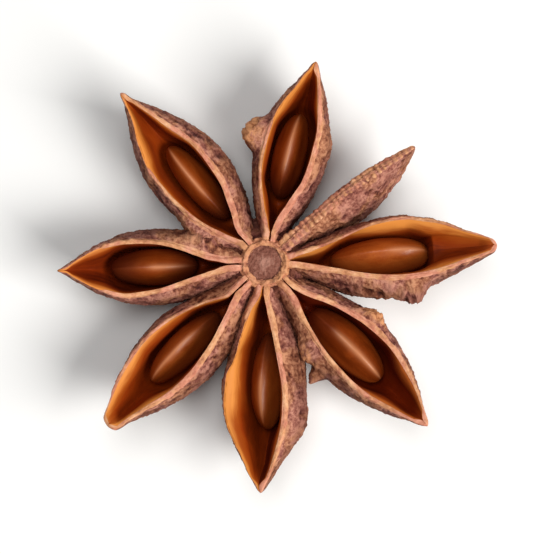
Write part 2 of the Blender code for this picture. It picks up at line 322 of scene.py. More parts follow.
def store_field(mesh: bpy.types.Mesh, label: str, values: Array, shape: tuple[int, int]) -> None:
    """Store a number or a vector per point of a loft, with each pole's from its ring's mean.

    Args:
        mesh: The mesh, whose last two vertices are the poles.
        label: The attribute's name.
        values: Array that spreads to shape, with or without a last axis of 3.
        shape: Stations and points in a ring.
    """
    wide = values.ndim == 3
    full = np.broadcast_to(values, (*shape, 3) if wide else shape)
    poles = np.stack([full[0].mean(axis=0), full[-1].mean(axis=0)])
    flat = np.concatenate([full.reshape(-1, 3) if wide else full.ravel(), poles])
    made = mesh.attributes.new(label, "FLOAT_VECTOR" if wide else "FLOAT", "POINT")
    made.data.foreach_set("vector" if wide else "value", flat.astype(np.float32).ravel())


# ---------------------------------------------------------------- shader arithmetic


class Step(Enum):
    """The Math node's operations that the finishes use."""

    ADD = "ADD"
    SUBTRACT = "SUBTRACT"
    MULTIPLY = "MULTIPLY"
    MOST = "MAXIMUM"


class Blend(Enum):
    """The Mix node's ways to lay one colour over another."""

    MIX = "MIX"
    MULTIPLY = "MULTIPLY"


class Value:
    """A number that varies over a surface: a socket with Python's arithmetic."""

    def __init__(self, graph: "Graph", socket: Socket) -> None:
        """Wrap a socket of a graph."""
        self.graph = graph
        self.socket = socket

    def step(self, step: Step, first: Terms, second: Terms) -> "Value":
        """Add a Math node for one operation on two terms."""
        node = self.graph.add("ShaderNodeMath", {"operation": step.value}, {0: first, 1: second})
        return Value(self.graph, node.outputs[0])

    def __add__(self, other: Terms) -> "Value":
        """self + other."""
        return self.step(Step.ADD, self, other)

    def __sub__(self, other: Terms) -> "Value":
        """self - other."""
        return self.step(Step.SUBTRACT, self, other)

    def __rsub__(self, other: Terms) -> "Value":
        """other - self."""
        return self.step(Step.SUBTRACT, other, self)

    def __mul__(self, other: Terms) -> "Value":
        """self * other."""
        return self.step(Step.MULTIPLY, self, other)

    __radd__ = __add__
    __rmul__ = __mul__

    def most(self, other: Terms) -> "Value":
        """The larger of self and other."""
        return self.step(Step.MOST, self, other)

    def rise(self, low: float, high: float) -> "Value":
        """Rise smoothly from 0 to 1.

        Args:
            low: Where it is still 0.
            high: Where it is 1.

        Returns:
            The rise.
        """
        settings = {"interpolation_type": "SMOOTHSTEP", "clamp": True}
        node = self.graph.add(
            "ShaderNodeMapRange", settings, {"Value": self, "From Min": low, "From Max": high}
        )
        return Value(self.graph, node.outputs["Result"])


def weighted(values: tuple[Value, ...], shares: tuple[float, ...]) -> Value:
    """Sum of each value times its share."""
    first, *others = (value * share for value, share in zip(values, shares, strict=True))
    for other in others:
        first = first + other
    return first


def gained(value: Value, line: Pair) -> Value:
    """A straight line of a value: its least, plus the value times its gain."""
    least, gain = line
    return least + value * gain


def frayed(share: Value, fray: Value, edges: Edges) -> Value:
    """Part two finishes along a ragged edge.

    Args:
        share: Share of the upper finish.
        fray: Noise about 0.5 that makes the edge ragged.
        edges: How much of the noise is added, and where the rise starts and ends.

    Returns:
        Share of the upper finish, from 0 to 1, with its edge frayed.
    """
    gain, low, high = edges
    return (share + (fray - 0.5) * gain).rise(low, high)


@dataclass(frozen=True)
class Speckle:
    """A kind of noise.

    Attributes:
        pitch_mm: Size of a blotch along each axis, in millimetres.
        detail: Octaves.
        roughness: Share that each finer octave keeps.
        twist: How far the pattern is pushed about by itself.
    """

    pitch_mm: Pitch
    detail: float
    roughness: float
    twist: float = 0.0


class Graph:
    """A new material with its nodes, and the pieces that every finish is put together from."""

    def __init__(self, name: str) -> None:
        """Make the material, and start from an empty tree."""
        self.material = bpy.data.materials.new(name)
        self.material.use_nodes = True
        self.tree = self.material.node_tree
        self.tree.nodes.clear()

    def add(
        self,
        kind: str,
        settings: Mapping[str, object] | None = None,
        sockets: Mapping[int | str, object] | None = None,
    ) -> bpy.types.Node:
        """Add a node.

        Args:
            kind: The node's type.
            settings: Its own settings, which are set first. "stops" holds a ramp's stops as
                (place, colour) pairs.
            sockets: Values or links of its input sockets, by name or number.

        Returns:
            The node.
        """
        node = self.tree.nodes.new(kind)
        for name, value in (settings or {}).items():
            if name == "stops":
                ramp = node.color_ramp
                while len(ramp.elements) < len(value):
                    ramp.elements.new(0.5)
                for element, (place, colour) in zip(ramp.elements, value, strict=True):
                    element.position = place
                    element.color = (*colour, 1.0)
            else:
                setattr(node, name, value)
        for name, value in (sockets or {}).items():
            source = value.socket if isinstance(value, Value) else value
            if isinstance(source, Socket):
                self.tree.links.new(source, node.inputs[name])
            elif isinstance(source, tuple) and node.inputs[name].type == "RGBA":
                node.inputs[name].default_value = (*source, 1.0)
            else:
                node.inputs[name].default_value = source
        return node

    def stored(self, name: str) -> Value:
        """A number stored on the mesh."""
        node = self.add("ShaderNodeAttribute", {"attribute_name": name})
        return Value(self, node.outputs["Fac"])

    def stored_place(self, name: str) -> Socket:
        """A place stored on the mesh."""
        return self.add("ShaderNodeAttribute", {"attribute_name": name}).outputs["Vector"]

    def stretched(self, place: Socket, pitch_mm: Pitch) -> Socket:
        """Divide a place by a pitch along each axis, so that a pattern of pitch 1 fits it."""
        scale = tuple(1.0 / (size * MM) for size in pitch_mm)
        settings = {"operation": "MULTIPLY"}
        return self.add("ShaderNodeVectorMath", settings, {0: place, 1: scale}).outputs[0]

    def noise(self, place: Socket, kind: Speckle) -> Value:
        """Noise about 0.5.

        Args:
            place: Where it is read.
            kind: Its pitch and roughness.

        Returns:
            The noise.
        """
        sockets = {
            "Vector": self.stretched(place, kind.pitch_mm),
            "Scale": 1.0,
            "Detail": kind.detail,
            "Roughness": kind.roughness,
            "Distortion": kind.twist,
        }
        return Value(self, self.add("ShaderNodeTexNoise", None, sockets).outputs["Fac"])

    def ramp(self, share: Value, *stops: tuple[float, Colour]) -> Socket:
        """A colour picked along a ramp of stops."""
        node = self.add("ShaderNodeValToRGB", {"stops": stops}, {0: share})
        return node.outputs["Color"]

    def over(
        self, share: Terms, below: object, above: object, way: Blend = Blend.MIX
    ) -> Socket:
        """Lay one colour over another by a share."""
        settings = {"data_type": "RGBA", "blend_type": way.value, "clamp_factor": True}
        return self.add("ShaderNodeMix", settings, {0: share, 6: below, 7: above}).outputs[2]

    def tinted(self, colour: Socket, share: Terms, tint: Colour) -> Socket:
        """Multiply a colour by a tint, as far as a share says."""
        return self.over(1.0, colour, self.over(share, WHITE, tint), Blend.MULTIPLY)

    def bump(self, height: Value, depth: float, strength: float) -> Socket:
        """Relief too fine for the mesh: depth is its height in metres where height is 1."""
        sockets = {"Height": height, "Distance": depth, "Strength": strength}
        return self.add("ShaderNodeBump", None, sockets).outputs["Normal"]

    def shade(self, sockets: Mapping[str, object]) -> None:
        """Finish the tree with a Principled shader that has these inputs."""
        shader = self.add("ShaderNodeBsdfPrincipled", None, sockets)
        self.add("ShaderNodeOutputMaterial", None, {"Surface": shader.outputs["BSDF"]})

    def surface(
        self, colour: Socket, roughness: Terms, normal: Socket, others: Mapping[str, Terms]
    ) -> None:
        """Finish the tree with a Principled shader whose main inputs vary.

        Args:
            colour: Base colour.
            roughness: Roughness.
            normal: Normal, from a Bump node.
            others: Its other inputs, by socket.
        """
        self.shade({"Base Color": colour, "Roughness": roughness, "Normal": normal, **others})


@dataclass(frozen=True)
class Layer:
    """What a finish gives: a colour, a roughness and a fine relief."""

    colour: Socket
    roughness: Value
    relief: Value


# ---------------------------------------------------------------- finishes


@dataclass(frozen=True)
class BarkFinish:
    """Dry outer bark: brown to mauve, rosy tan on its crests and nearly black in its cracks, partly
    painted light and shade, and darkened low down and on its flanks by painted shade.
    """

    brown: Ramp = (
        (0.22, (0.032, 0.008, 0.004)),
        (0.40, (0.120, 0.032, 0.017)),
        (0.56, (0.270, 0.092, 0.046)),
        (0.76, (0.540, 0.245, 0.132)),
    )
    mauve: Ramp = (
        (0.22, (0.030, 0.007, 0.007)),
        (0.40, (0.110, 0.028, 0.023)),
        (0.56, (0.265, 0.088, 0.063)),
        (0.76, (0.530, 0.235, 0.165)),
    )
    # Tint of the painted shade on the bark: low down near the hub, down the flanks, and on the
    # hub's sides.
    cleft: Colour = (0.36, 0.28, 0.28)
    blotch: Speckle = Speckle((1.5, 1.0, 1.0), 4.0, 0.6, 0.6)
    streak: Speckle = Speckle((0.8, 0.26, 0.26), 3.0, 0.65, 0.4)
    speck: Speckle = Speckle((0.22, 0.18, 0.18), 2.0, 0.7)
    hue: Speckle = Speckle((2.2, 1.6, 1.6), 2.0, 0.6, 0.5)
    hue_edges: Pair = (0.42, 0.58)
    tone_shares: tuple[float, ...] = (0.34, 0.26, 0.40)
    contrast: float = 1.7
    # How much paler the relief's crests are painted and darker its hollows: painted light and
    # shade.
    relief_shade_gain: float = 0.7
    relief_shares: tuple[float, ...] = (0.4, 0.6)
    roughness: Pair = (0.70, 0.2)

    def lay(self, graph: Graph, place: Socket) -> Layer:
        """Blotches, streaks along the arm and specks; crests of the relief are painted paler and
        its hollows darker, which is painted light and shade.

        Args:
            graph: The material's nodes.
            place: Where the patterns are read.

        Returns:
            The finish.
        """
        blotch, streak = graph.noise(place, self.blotch), graph.noise(place, self.streak)
        speck, hue = graph.noise(place, self.speck), graph.noise(place, self.hue)
        tone = weighted((blotch, streak, speck), self.tone_shares)
        # Painted light and shade on the relief: paler on its crests, darker in its hollows.
        crest = (graph.stored("crest") - 0.5) * self.relief_shade_gain
        tone = (tone - 0.5) * self.contrast + 0.5 + crest
        brown, mauve = graph.ramp(tone, *self.brown), graph.ramp(tone, *self.mauve)
        colour = graph.over(hue.rise(*self.hue_edges), brown, mauve)
        # Painted shade: darkens the bark low down near the hub and down its flanks.
        colour = graph.tinted(colour, graph.stored("cleft"), self.cleft)
        relief = weighted((streak, speck), self.relief_shares)
        return Layer(colour, gained(speck, self.roughness), relief)


@dataclass(frozen=True)
class LipFinish:
    """The cut edge of a pocket's wall: tan to rose, darker where it is worn."""

    tan: Ramp = (
        (0.32, (0.330, 0.118, 0.055)),
        (0.49, (0.630, 0.290, 0.138)),
        (0.68, (0.860, 0.500, 0.285)),
    )
    rose: Ramp = (
        (0.32, (0.310, 0.088, 0.052)),
        (0.49, (0.590, 0.225, 0.140)),
        (0.68, (0.810, 0.400, 0.270)),
    )
    slow: Speckle = Speckle((1.3, 0.9, 0.9), 3.0, 0.6, 0.3)
    fibre: Speckle = Speckle((0.36, 0.16, 0.16), 3.0, 0.7)
    hue: Speckle = Speckle((1.9, 1.5, 1.5), 2.0, 0.6, 0.5)
    hue_edges: Pair = (0.40, 0.60)
    tone_shares: tuple[float, ...] = (0.5, 0.5)
    roughness: Pair = (0.62, 0.2)

    def lay(self, graph: Graph, place: Socket) -> Layer:
        """Grains and short fibres along the edge over slow changes of tone and hue.

        Args:
            graph: The material's nodes.
            place: Where the patterns are read.

        Returns:
            The finish.
        """
        slow, fibre = graph.noise(place, self.slow), graph.noise(place, self.fibre)
        hue = graph.noise(place, self.hue)
        tone = weighted((slow, fibre), self.tone_shares)
        tan, rose = graph.ramp(tone, *self.tan), graph.ramp(tone, *self.rose)
        colour = graph.over(hue.rise(*self.hue_edges), tan, rose)
        return Layer(colour, gained(fibre, self.roughness), fibre)


@dataclass(frozen=True)
class LiningFinish:
    """The smooth lining of an open pocket: satin orange, with painted shade that makes it redder
    and darker lower down.
    """

    # Tones of the painted shade on the lining, from bright orange where lit to dark red-brown where
    # shaded.
    shade_depths: Ramp = (
        (0.05, (0.700, 0.245, 0.045)),
        (0.38, (0.370, 0.074, 0.007)),
        (0.72, (0.290, 0.037, 0.002)),
        (1.00, (0.090, 0.008, 0.001)),
    )
    # Tint of the painted shade that dims a whole pocket's lining.
    sombre: Colour = (0.55, 0.24, 0.14)
    slow: Speckle = Speckle((2.4, 0.8, 0.8), 3.0, 0.55, 0.4)
    streak: Speckle = Speckle((1.5, 0.13, 0.13), 2.0, 0.6)
    slow_gain: float = 0.5
    streak_gain: float = 0.22
    roughness: Pair = (0.42, 0.2)

    def lay(self, graph: Graph, place: Socket) -> Layer:
        """A change of colour with the painted shade, which grows with depth, with faint streaks
        along the pocket.

        Args:
            graph: The material's nodes.
            place: Where the patterns are read.

        Returns:
            The finish.
        """
        slow, streak = graph.noise(place, self.slow), graph.noise(place, self.streak)
        # The stored painted shade, with slow noise and streaks on top.
        shade = graph.stored("deep") + (slow - 0.5) * self.slow_gain
        shade = shade + (streak - 0.5) * self.streak_gain
        colour = graph.ramp(shade, *self.shade_depths)
        # Painted shade that dims a whole pocket's lining.
        colour = graph.tinted(colour, graph.stored("sombre"), self.sombre)
        return Layer(colour, gained(streak, self.roughness), streak)


@dataclass(frozen=True)
class HuskFinish:
    """Bark, lips, lining and bare tissue on one skin, parted by shares that the mesh stores."""

    name: str = "husk_skin"
    bark: BarkFinish = BarkFinish()
    lip: LipFinish = LipFinish()
    lining: LiningFinish = LiningFinish()
    raw: Colour = (0.640, 0.285, 0.130)
    # Bare tissue where the noise is low and in the relief's hollows, partly painted shade.
    raw_low: Colour = (0.270, 0.080, 0.028)
    fray: Speckle = Speckle((0.35, 0.16, 0.16), 2.0, 0.6)
    inside_edges: Edges = (0.25, 0.40, 0.60)
    lip_edges: Edges = (0.55, 0.30, 0.65)
    raw_edges: Edges = (0.9, 0.15, 0.70)
    torn_edges: Edges = (0.4, 0.38, 0.66)
    lip_relief: float = 0.45
    lining_relief: float = 0.06
    bump_depth: float = 0.12 * MM
    bump_strength: float = 0.8
    specular: float = 0.16

    def make(self) -> bpy.types.Material:
        """Build the material.

        Returns:
            The material.
        """
        graph = Graph(self.name)
        place = graph.stored_place("fibre")
        bark = self.bark.lay(graph, place)
        lip = self.lip.lay(graph, place)
        lining = self.lining.lay(graph, place)
        fray = graph.noise(place, self.fray)
        inside = frayed(graph.stored("inside"), fray, self.inside_edges)
        edge = frayed(graph.stored("edge"), fray, self.lip_edges)
        raw = frayed(graph.stored("raw"), fray, self.raw_edges)
        # Bare tissue: darker where the noise is low and, as painted shade, in the relief's hollows.
        torn = frayed(fray, graph.stored("crest"), self.torn_edges)
        colour = graph.over(raw, bark.colour, graph.over(torn, self.raw_low, self.raw))
        colour = graph.over(inside, colour, lining.colour)
        colour = graph.over(edge, colour, lip.colour)
        roughness = bark.roughness + (lining.roughness - bark.roughness) * inside
        roughness = roughness + (lip.roughness - roughness) * edge
        relief = bark.relief * (1.0 - inside.most(edge)) + lip.relief * edge * self.lip_relief
        relief = relief + lining.relief * inside * self.lining_relief
        normal = graph.bump(relief, self.bump_depth, self.bump_strength)
        graph.surface(colour, roughness, normal, {"Specular IOR Level": self.specular})
        return graph.material


@dataclass(frozen=True)
class SeedFinish:
    """A hard glossy coat: chestnut, with a pale line along the crest that is partly a painted
    highlight, a painted sheen, painted light on its widest sides, and painted shade on its ends and
    sides.
    """

    name: str = "seed_coat"
    tones: Ramp = (
        (0.30, (0.150, 0.020, 0.002)),
        (0.49, (0.290, 0.047, 0.005)),
        (0.72, (0.450, 0.104, 0.016)),
    )
    # Colour of the painted sheen: a reflection of the lamp painted on the crest.
    sheen: Colour = (0.450, 0.104, 0.016)
    # Colour of the pale line along the crest: partly the seed's own pale line, partly a painted
    # highlight where it is lit.
    line: Colour = (0.660, 0.270, 0.120)
    # Colour of the painted light on the seed's widest sides.
    rim: Colour = (0.480, 0.095, 0.014)
    shadow: Colour = (0.095, 0.012, 0.001)
    slow: Speckle = Speckle((2.2, 1.0, 1.0), 3.0, 0.55, 0.5)
    streak: Speckle = Speckle((1.1, 0.30, 0.30), 3.0, 0.6)
    speck: Speckle = Speckle((0.16, 0.12, 0.12), 2.0, 0.6)
    tone_shares: tuple[float, ...] = (0.55, 0.25, 0.20)
    relief_shares: tuple[float, ...] = (0.6, 0.4)
    # How far the painted sheen is laid on.
    sheen_share: float = 0.25
    # How far the pale line, partly a painted highlight, is laid on.
    line_share: float = 0.7
    # How far the painted light on the widest sides is laid on.
    side_light_share: float = 0.9
    # How much the painted shade on the ends and on the sides darkens the coat.
    ends_share: float = 0.85
    side_share: float = 0.40
    bump_depth: float = 0.025 * MM
    bump_strength: float = 0.4
    roughness: Pair = (0.26, 0.16)
    dull_ends: float = 0.3
    specular: float = 0.18
    coat: Pair = (0.12, 0.11)
    coat_roughness: float = 0.16

    def make(self) -> bpy.types.Material:
        """Build the material.

        Returns:
            The material.
        """
        graph = Graph(self.name)
        place = graph.stored_place("fibre")
        slow, streak = graph.noise(place, self.slow), graph.noise(place, self.streak)
        speck, ends = graph.noise(place, self.speck), graph.stored("ends")
        tone = weighted((slow, streak, speck), self.tone_shares) + graph.stored("tone")
        colour = graph.ramp(tone, *self.tones)
        # Painted sheen: a reflection of the lamp on the crest.
        colour = graph.over(graph.stored("sheen") * self.sheen_share, colour, self.sheen)
        # The pale line: partly the seed's own, partly a painted highlight.
        colour = graph.over(graph.stored("line") * self.line_share, colour, self.line)
        # Painted light on the widest sides.
        colour = graph.over(graph.stored("rim") * self.side_light_share, colour, self.rim)
        # Painted shade on the ends and on the sides.
        lit = (1.0 - ends * self.ends_share) * (1.0 - graph.stored("side") * self.side_share)
        colour = graph.over(1.0 - lit, colour, self.shadow)
        relief = weighted((streak, speck), self.relief_shares)
        normal = graph.bump(relief, self.bump_depth, self.bump_strength)
        coat, coat_lost = self.coat
        others = {
            "Specular IOR Level": self.specular,
            "Coat Weight": coat - ends * coat_lost,
            "Coat Roughness": self.coat_roughness,
        }
        roughness = gained(slow, self.roughness) + ends * self.dull_ends
        graph.surface(colour, roughness, normal, others)
        return graph.material


@dataclass(frozen=True)
class HubFinish:
    """The hub: a mauve granular disc with a paler middle, in a tan collar, on bark that is darkened
    by painted shade; the relief's hollows have painted shade too.
    """

    name: str = "hub_skin"
    bark: BarkFinish = BarkFinish()
    lip: LipFinish = LipFinish()
    disc: Ramp = (
        (0.34, (0.100, 0.030, 0.020)),
        (0.52, (0.215, 0.078, 0.052)),
        (0.74, (0.390, 0.185, 0.135)),
    )
    collar: Colour = (0.620, 0.280, 0.135)
    # Colour of the collar in the relief's hollows: painted shade.
    collar_shaded: Colour = (0.240, 0.070, 0.030)
    grain: Speckle = Speckle((0.28, 0.28, 0.28), 3.0, 0.65)
    slow: Speckle = Speckle((0.6, 0.6, 0.6), 3.0, 0.6)
    tone_shares: tuple[float, ...] = (0.5, 0.5)
    boss_gain: float = 0.20
    # How much paler the disc is painted on its relief's crests and darker in its hollows: painted
    # light and shade.
    relief_shade_gain: float = 0.22
    disc_edges: Edges = (0.5, 0.35, 0.65)
    collar_edges: Edges = (0.8, 0.35, 0.75)
    # Where the collar goes from its painted shade in hollows to its tan on crests.
    relief_shade_edges: Edges = (0.9, 0.20, 0.70)
    lip_share: float = 0.35
    bump_depth: float = 0.10 * MM
    bump_strength: float = 0.8
    specular: float = 0.16

    def make(self) -> bpy.types.Material:
        """Build the material.

        Returns:
            The material.
        """
        graph = Graph(self.name)
        place = graph.stored_place("fibre")
        bark, lip = self.bark.lay(graph, place), self.lip.lay(graph, place)
        grain, slow = graph.noise(place, self.grain), graph.noise(place, self.slow)
        crest = graph.stored("crest")
        tone = weighted((grain, slow), self.tone_shares) + graph.stored("boss") * self.boss_gain
        # Painted light and shade on the disc's relief: paler on crests, darker in hollows.
        disc = graph.ramp(tone + (crest - 0.5) * self.relief_shade_gain, *self.disc)
        share = frayed(graph.stored("disc"), grain, self.disc_edges)
        ring = frayed(graph.stored("collar"), grain, self.collar_edges)
        # Painted shade in the collar's hollows, tan on its crests.
        tan = graph.over(frayed(crest, grain, self.relief_shade_edges), self.collar_shaded, self.collar)
        tan = graph.over(self.lip_share, tan, lip.colour)
        # Painted shade: the bark on the hub's sides is darkened all over by the bark's shade tint.
        under = graph.over(1.0, bark.colour, self.bark.cleft, Blend.MULTIPLY)
        colour = graph.over(share, graph.over(ring, under, tan), disc)
        relief = bark.relief * (1.0 - share) + grain * share
        normal = graph.bump(relief, self.bump_depth, self.bump_strength)
        graph.surface(colour, bark.roughness, normal, {"Specular IOR Level": self.specular})
        return graph.material


@dataclass(frozen=True)
class FloorFinish:
    """A plain matt near-white tabletop."""

    name: str = "tabletop"
    colour: Colour = (0.90, 0.90, 0.89)
    roughness: float = 0.8
    specular: float = 0.2

    def make(self) -> bpy.types.Material:
        """Build the material."""
        graph = Graph(self.name)
        sockets = {"Base Color": self.colour, "Roughness": self.roughness}
        graph.shade({**sockets, "Specular IOR Level": self.specular})
        return graph.material


# ---------------------------------------------------------------- pockets


class Side(Enum):
    """A side of an arm, as the sign of its distance from the arm."""

    LEFT = 1
    RIGHT = -1


class Mouth(Enum):
    """Whether a pocket has split open."""

    OPEN = "open"
    SHUT = "shut"


@dataclass(frozen=True)
class Lump:
    """A swelling of the bark on one side of a pocket.

    Attributes:
        side: Its side.
        along: Where its middle is along the arm.
        high_mm: Its height.
        long: Its half-length, as a share of the arm.
        level: The share of the way from lip to keel at which its middle is.
        spread: Its half-width, as a share of that way.
        ragged: The share of its height that is torn up.
        raw: How bare its tissue is, from 0 to 1.
        steep: How flat its top and how steep its flanks are; 1 is a plain bell.
    """

    side: Side
    along: float
    high_mm: float
    long: float = 0.075
    level: float = 0.3
    spread: float = 0.22
    ragged: float = 0.6
    raw: float = 0.0
    steep: float = 1.0


@dataclass(frozen=True)
class Kink:
    """A place where one lip bends out or, below zero, in; "long" is its half-length."""

    side: Side
    along: float
    out_mm: float
    long: float = 0.06


@dataclass(frozen=True)
class Lip:
    """How one lip looks.

    Attributes:
        thickness: Its thickness as a share of the usual.
        worn_from: Share of the arm from which its pale rim is worn off.
        flare: How bright the painted light on the lining below it is beside the seed: 0 is
            dark, 1 as bright as its depth leaves it, and more than 1 brighter still. The chamber's
            wall also starts nearer to the seed where it is high.
        shade: How dark the painted shade on the lining below it is beyond the seed, from 0 to 1.
    """

    thickness: float = 1.0
    worn_from: float = 1.2
    flare: float = 0.0
    shade: float = 0.0


@dataclass(frozen=True)
class HuskSizes:
    """Sizes that all pockets and the hub share.

    Reaches are distances from a seed's middle, in halves of the seed's length. The knee is
    where the lining's bevel meets the wall of the seed's chamber.
    """

    hub_x: float = -0.93 * MM
    hub_y: float = 1.05 * MM
    hub_top: float = 6.45 * MM
    web_radius: float = 3.3 * MM
    web_low: float = 2.9 * MM
    web_high: float = 4.3 * MM
    web_top: float = 6.0 * MM
    scar_radius: float = 1.75 * MM
    scar_bottom: float = 1.15 * MM
    scar_shoulder: float = 1.6 * MM
    scar_rim: float = 0.25 * MM
    arm_start: float = 1.25 * MM
    rim_height: float = 6.75 * MM
    rim_dip: float = 0.3 * MM
    keel_at_hub: float = 1.75 * MM
    keel_low_inside_seed: float = 0.02
    keel_hub_power: float = 1.7
    keel_bow_power: float = 2.3
    keel_sink: float = 0.26 * MM
    beak_depth: float = 0.55 * MM
    belly_at: float = 0.54
    belly_level: float = 0.36
    root_half: float = 0.5 * MM
    root_nose: float = 0.55 * MM
    root_dip: float = 0.22 * MM
    root_dip_noses: float = 1.6
    root_dip_deep: float = 2.0 * MM
    keel_round: float = 1.9
    keel_blunt: float = 0.8
    lip_thicknesses: Three = (0.39 * MM, 0.32 * MM, 0.16 * MM)
    lip_round: float = 0.13 * MM
    round_from: float = 1.5 * MM
    mouth_least: float = 0.006 * MM
    hollow_least: float = 0.02 * MM
    crevice_half: float = 0.1 * MM
    crevice_depth: float = 0.5 * MM
    floor_thickness: float = 0.65 * MM
    floor_least: float = 0.35
    knee_depth: float = 1.35 * MM
    knee_swell: float = 0.8
    knee_blur: float = 0.5 * MM
    knee_share: float = 1.04
    slack_share: float = 0.42
    room_eases: Pair = (1.45, 0.55)
    cliff_reaches: Pair = (1.45, 1.0)
    cliff_nearer: Pair = (0.6, 0.15)
    valley_power: float = 1.6
    pit_power: float = 0.6
    valley_share: float = 0.66
    valley_share_hub: float = 0.95
    valley_opens_over: float = 0.07
    ridge_height: float = 0.12 * MM
    ridge_fade: float = 0.3
    lean_start: float = 0.05
    lean_over: float = 0.3
    tip_nose: float = 0.30 * MM
    seed_half_share: float = 0.213
    seed_half_thick: float = 1.25 * MM
    seed_half_depth: float = 2.1 * MM
    seed_below_rim: float = 3.45 * MM
    seed_gap: float = 0.05 * MM
    seed_end_gap: float = 0.10 * MM
    seed_blunt_inwards: float = 0.95


SIZES = HuskSizes()


@dataclass(frozen=True)
class Arm:
    """The line of one pocket: its curves along the arm, and where they stand in the pod.

    Attributes:
        name: Its letter.
        heading: Its direction in degrees, counter-clockwise from +X.
        length_mm: From the hub's axis to its tip.
        lip_half_mm: Half the width of the mouth at its widest.
        lip_shift_mm: How far the mouth bows to the left of the arm.
        belly_half_mm: Half the greatest width.
        lean: Degrees by which it leans; above zero the mouth is to the left of the keel.
        number: Seed of its random relief.
        open_from: Where the mouth starts to widen.
        widest: Where the mouth is widest.
        beak: How hollow the mouth's sides are towards the tip; 1 is a plain sine.
        beak_rise_mm: How far the tip of the mouth rises.
        keel_lift_mm: How far the keel stands above the usual.
        seed_at: Where the seed's middle is.
        seed_shift_mm: How far the seed lies to the left of the mouth's middle.
        seed_wide: The seed's thickness as a share of the usual.
        seed_blunt: How pointed its outer end is; a smaller number is blunter.
        seed_shade: How dark the painted shade on its end towards the hub and on its sides is.
        seed_dim: How dark the painted shade on its outer end is.
        seed_lit: Middle and half-length of its crest's lit stretch, where the pale line carries a
            painted highlight, from -1 to 1 outwards.
        seed_tone: How much lighter than the usual it is.
        sombre: How much its lining is dimmed by painted shade, from 0 to 1.
        shallow: How shallow the valley beyond the seed is, from 0 to 1; its lining there, and on
            its left side, also has less painted shade.
        tip_half_mm: Half the width that the mouth keeps at a blunt tip.
        belly_beak: How hollow the belly's sides are towards the tip; 1 is a plain sine.
        mouth: Whether it has split open.
        left: How its left lip looks.
        right: How its right lip looks.
        lumps: Swellings of its bark.
        kinks: Bends of its lips.
    """

    name: str
    heading: float
    length_mm: float
    lip_half_mm: float
    lip_shift_mm: float
    belly_half_mm: float
    lean: float
    number: int
    open_from: float = 0.14
    widest: float = 0.59
    beak: float = 1.0
    beak_rise_mm: float = 1.1
    keel_lift_mm: float = 0.0
    seed_at: float = 0.515
    seed_shift_mm: float = 0.0
    seed_wide: float = 1.0
    seed_blunt: float = 0.95
    seed_shade: float = 1.0
    seed_dim: float = 0.0
    seed_lit: Pair = (0.3, 0.6)
    seed_tone: float = 0.0
    sombre: float = 0.0
    shallow: float = 0.0
    tip_half_mm: float = 0.0
    belly_beak: float = 1.0
    mouth: Mouth = Mouth.OPEN
    left: Lip = Lip()
    right: Lip = Lip()
    lumps: tuple[Lump, ...] = ()
    kinks: tuple[Kink, ...] = ()

    @property
    def length(self) -> float:
        """Length of the arm in metres."""
        return self.length_mm * MM

    def short_of_tip(self, gap_mm: float) -> float:
        """The share of the arm that is a gap short of its tip."""
        return 1.0 - gap_mm * MM / self.length

    @property
    def seed_half(self) -> float:
        """Half the thickness of its seed in metres."""
        return SIZES.seed_half_thick * self.seed_wide

    @staticmethod
    def lens(x: Array, start: float, widest: float, beak: float = 1.0) -> Array:
        """A half-width that is 0 at start and at 1, and 1 at widest.

        The share from start to 1 is raised to the power that brings widest to a half, and the
        sine of half a turn of it is taken; past widest, beak is a further power of it.
        """
        share = np.clip((x - start) / (1.0 - start), 0.0, 1.0)
        warp = math.log(0.5) / math.log((widest - start) / (1.0 - start))
        shape = np.clip(np.sin(HALF_TURN * share**warp), 0.0, 1.0)
        return np.where(x > widest, shape**beak, shape)

    def rim(self, x: Array) -> Array:
        """Height of the mouth: level, less half a sine wave, plus a cube that lifts the beak."""
        lift = self.beak_rise_mm * MM * x**3
        return SIZES.rim_height - SIZES.rim_dip * np.sin(HALF_TURN * x) + lift

    def keel(self, x: Array) -> Array:
        """Height of the keel: a power curve down from the hub and another up to the beak.

        Args:
            x: Stations.

        Returns:
            Heights.
        """
        low = -SIZES.keel_sink + self.keel_lift_mm * MM
        tip = self.rim(np.array(1.0)) - SIZES.beak_depth
        lowest = self.seed_at - SIZES.keel_low_inside_seed
        inwards = np.clip((lowest - x) / lowest, 0.0, 1.0)
        outwards = np.clip((x - lowest) / (1.0 - lowest), 0.0, 1.0)
        hub_side = (SIZES.keel_at_hub - low) * inwards**SIZES.keel_hub_power
        return low + hub_side + (tip - low) * outwards**SIZES.keel_bow_power

    def depth(self, x: Array) -> Array:
        """Depth of the section from mouth to keel, measured along its lean."""
        return (self.rim(x) - self.keel(x)) / math.cos(math.radians(self.lean))

    def axes(self, x: Array) -> tuple[Array, Array, Array]:
        """Middle and directions of a section, which leans more away from the hub.

        Args:
            x: Stations.

        Returns:
            Middle of the mouth, unit vector to the left, and unit vector down.
        """
        share = np.clip((x - SIZES.lean_start) / SIZES.lean_over, 0.0, 1.0)
        turn = math.radians(self.lean) * share
        shift = self.lip_shift_mm * MM * self.lens(x, 0.0, self.widest)
        middle = np.stack([self.length * x, shift, self.rim(x)], axis=-1)
        zero = np.zeros_like(x)
        left = np.stack([zero, np.cos(turn), -np.sin(turn)], axis=-1)
        down = np.stack([zero, -np.sin(turn), -np.cos(turn)], axis=-1)
        return middle, left, down

    def at(self, x: Array, across: Array, below: Array) -> Array:
        """Places in the arm's own frame: the mouth's middle plus left and down parts."""
        middle, left, down = self.axes(x)
        return middle + left * across[..., None] + down * below[..., None]

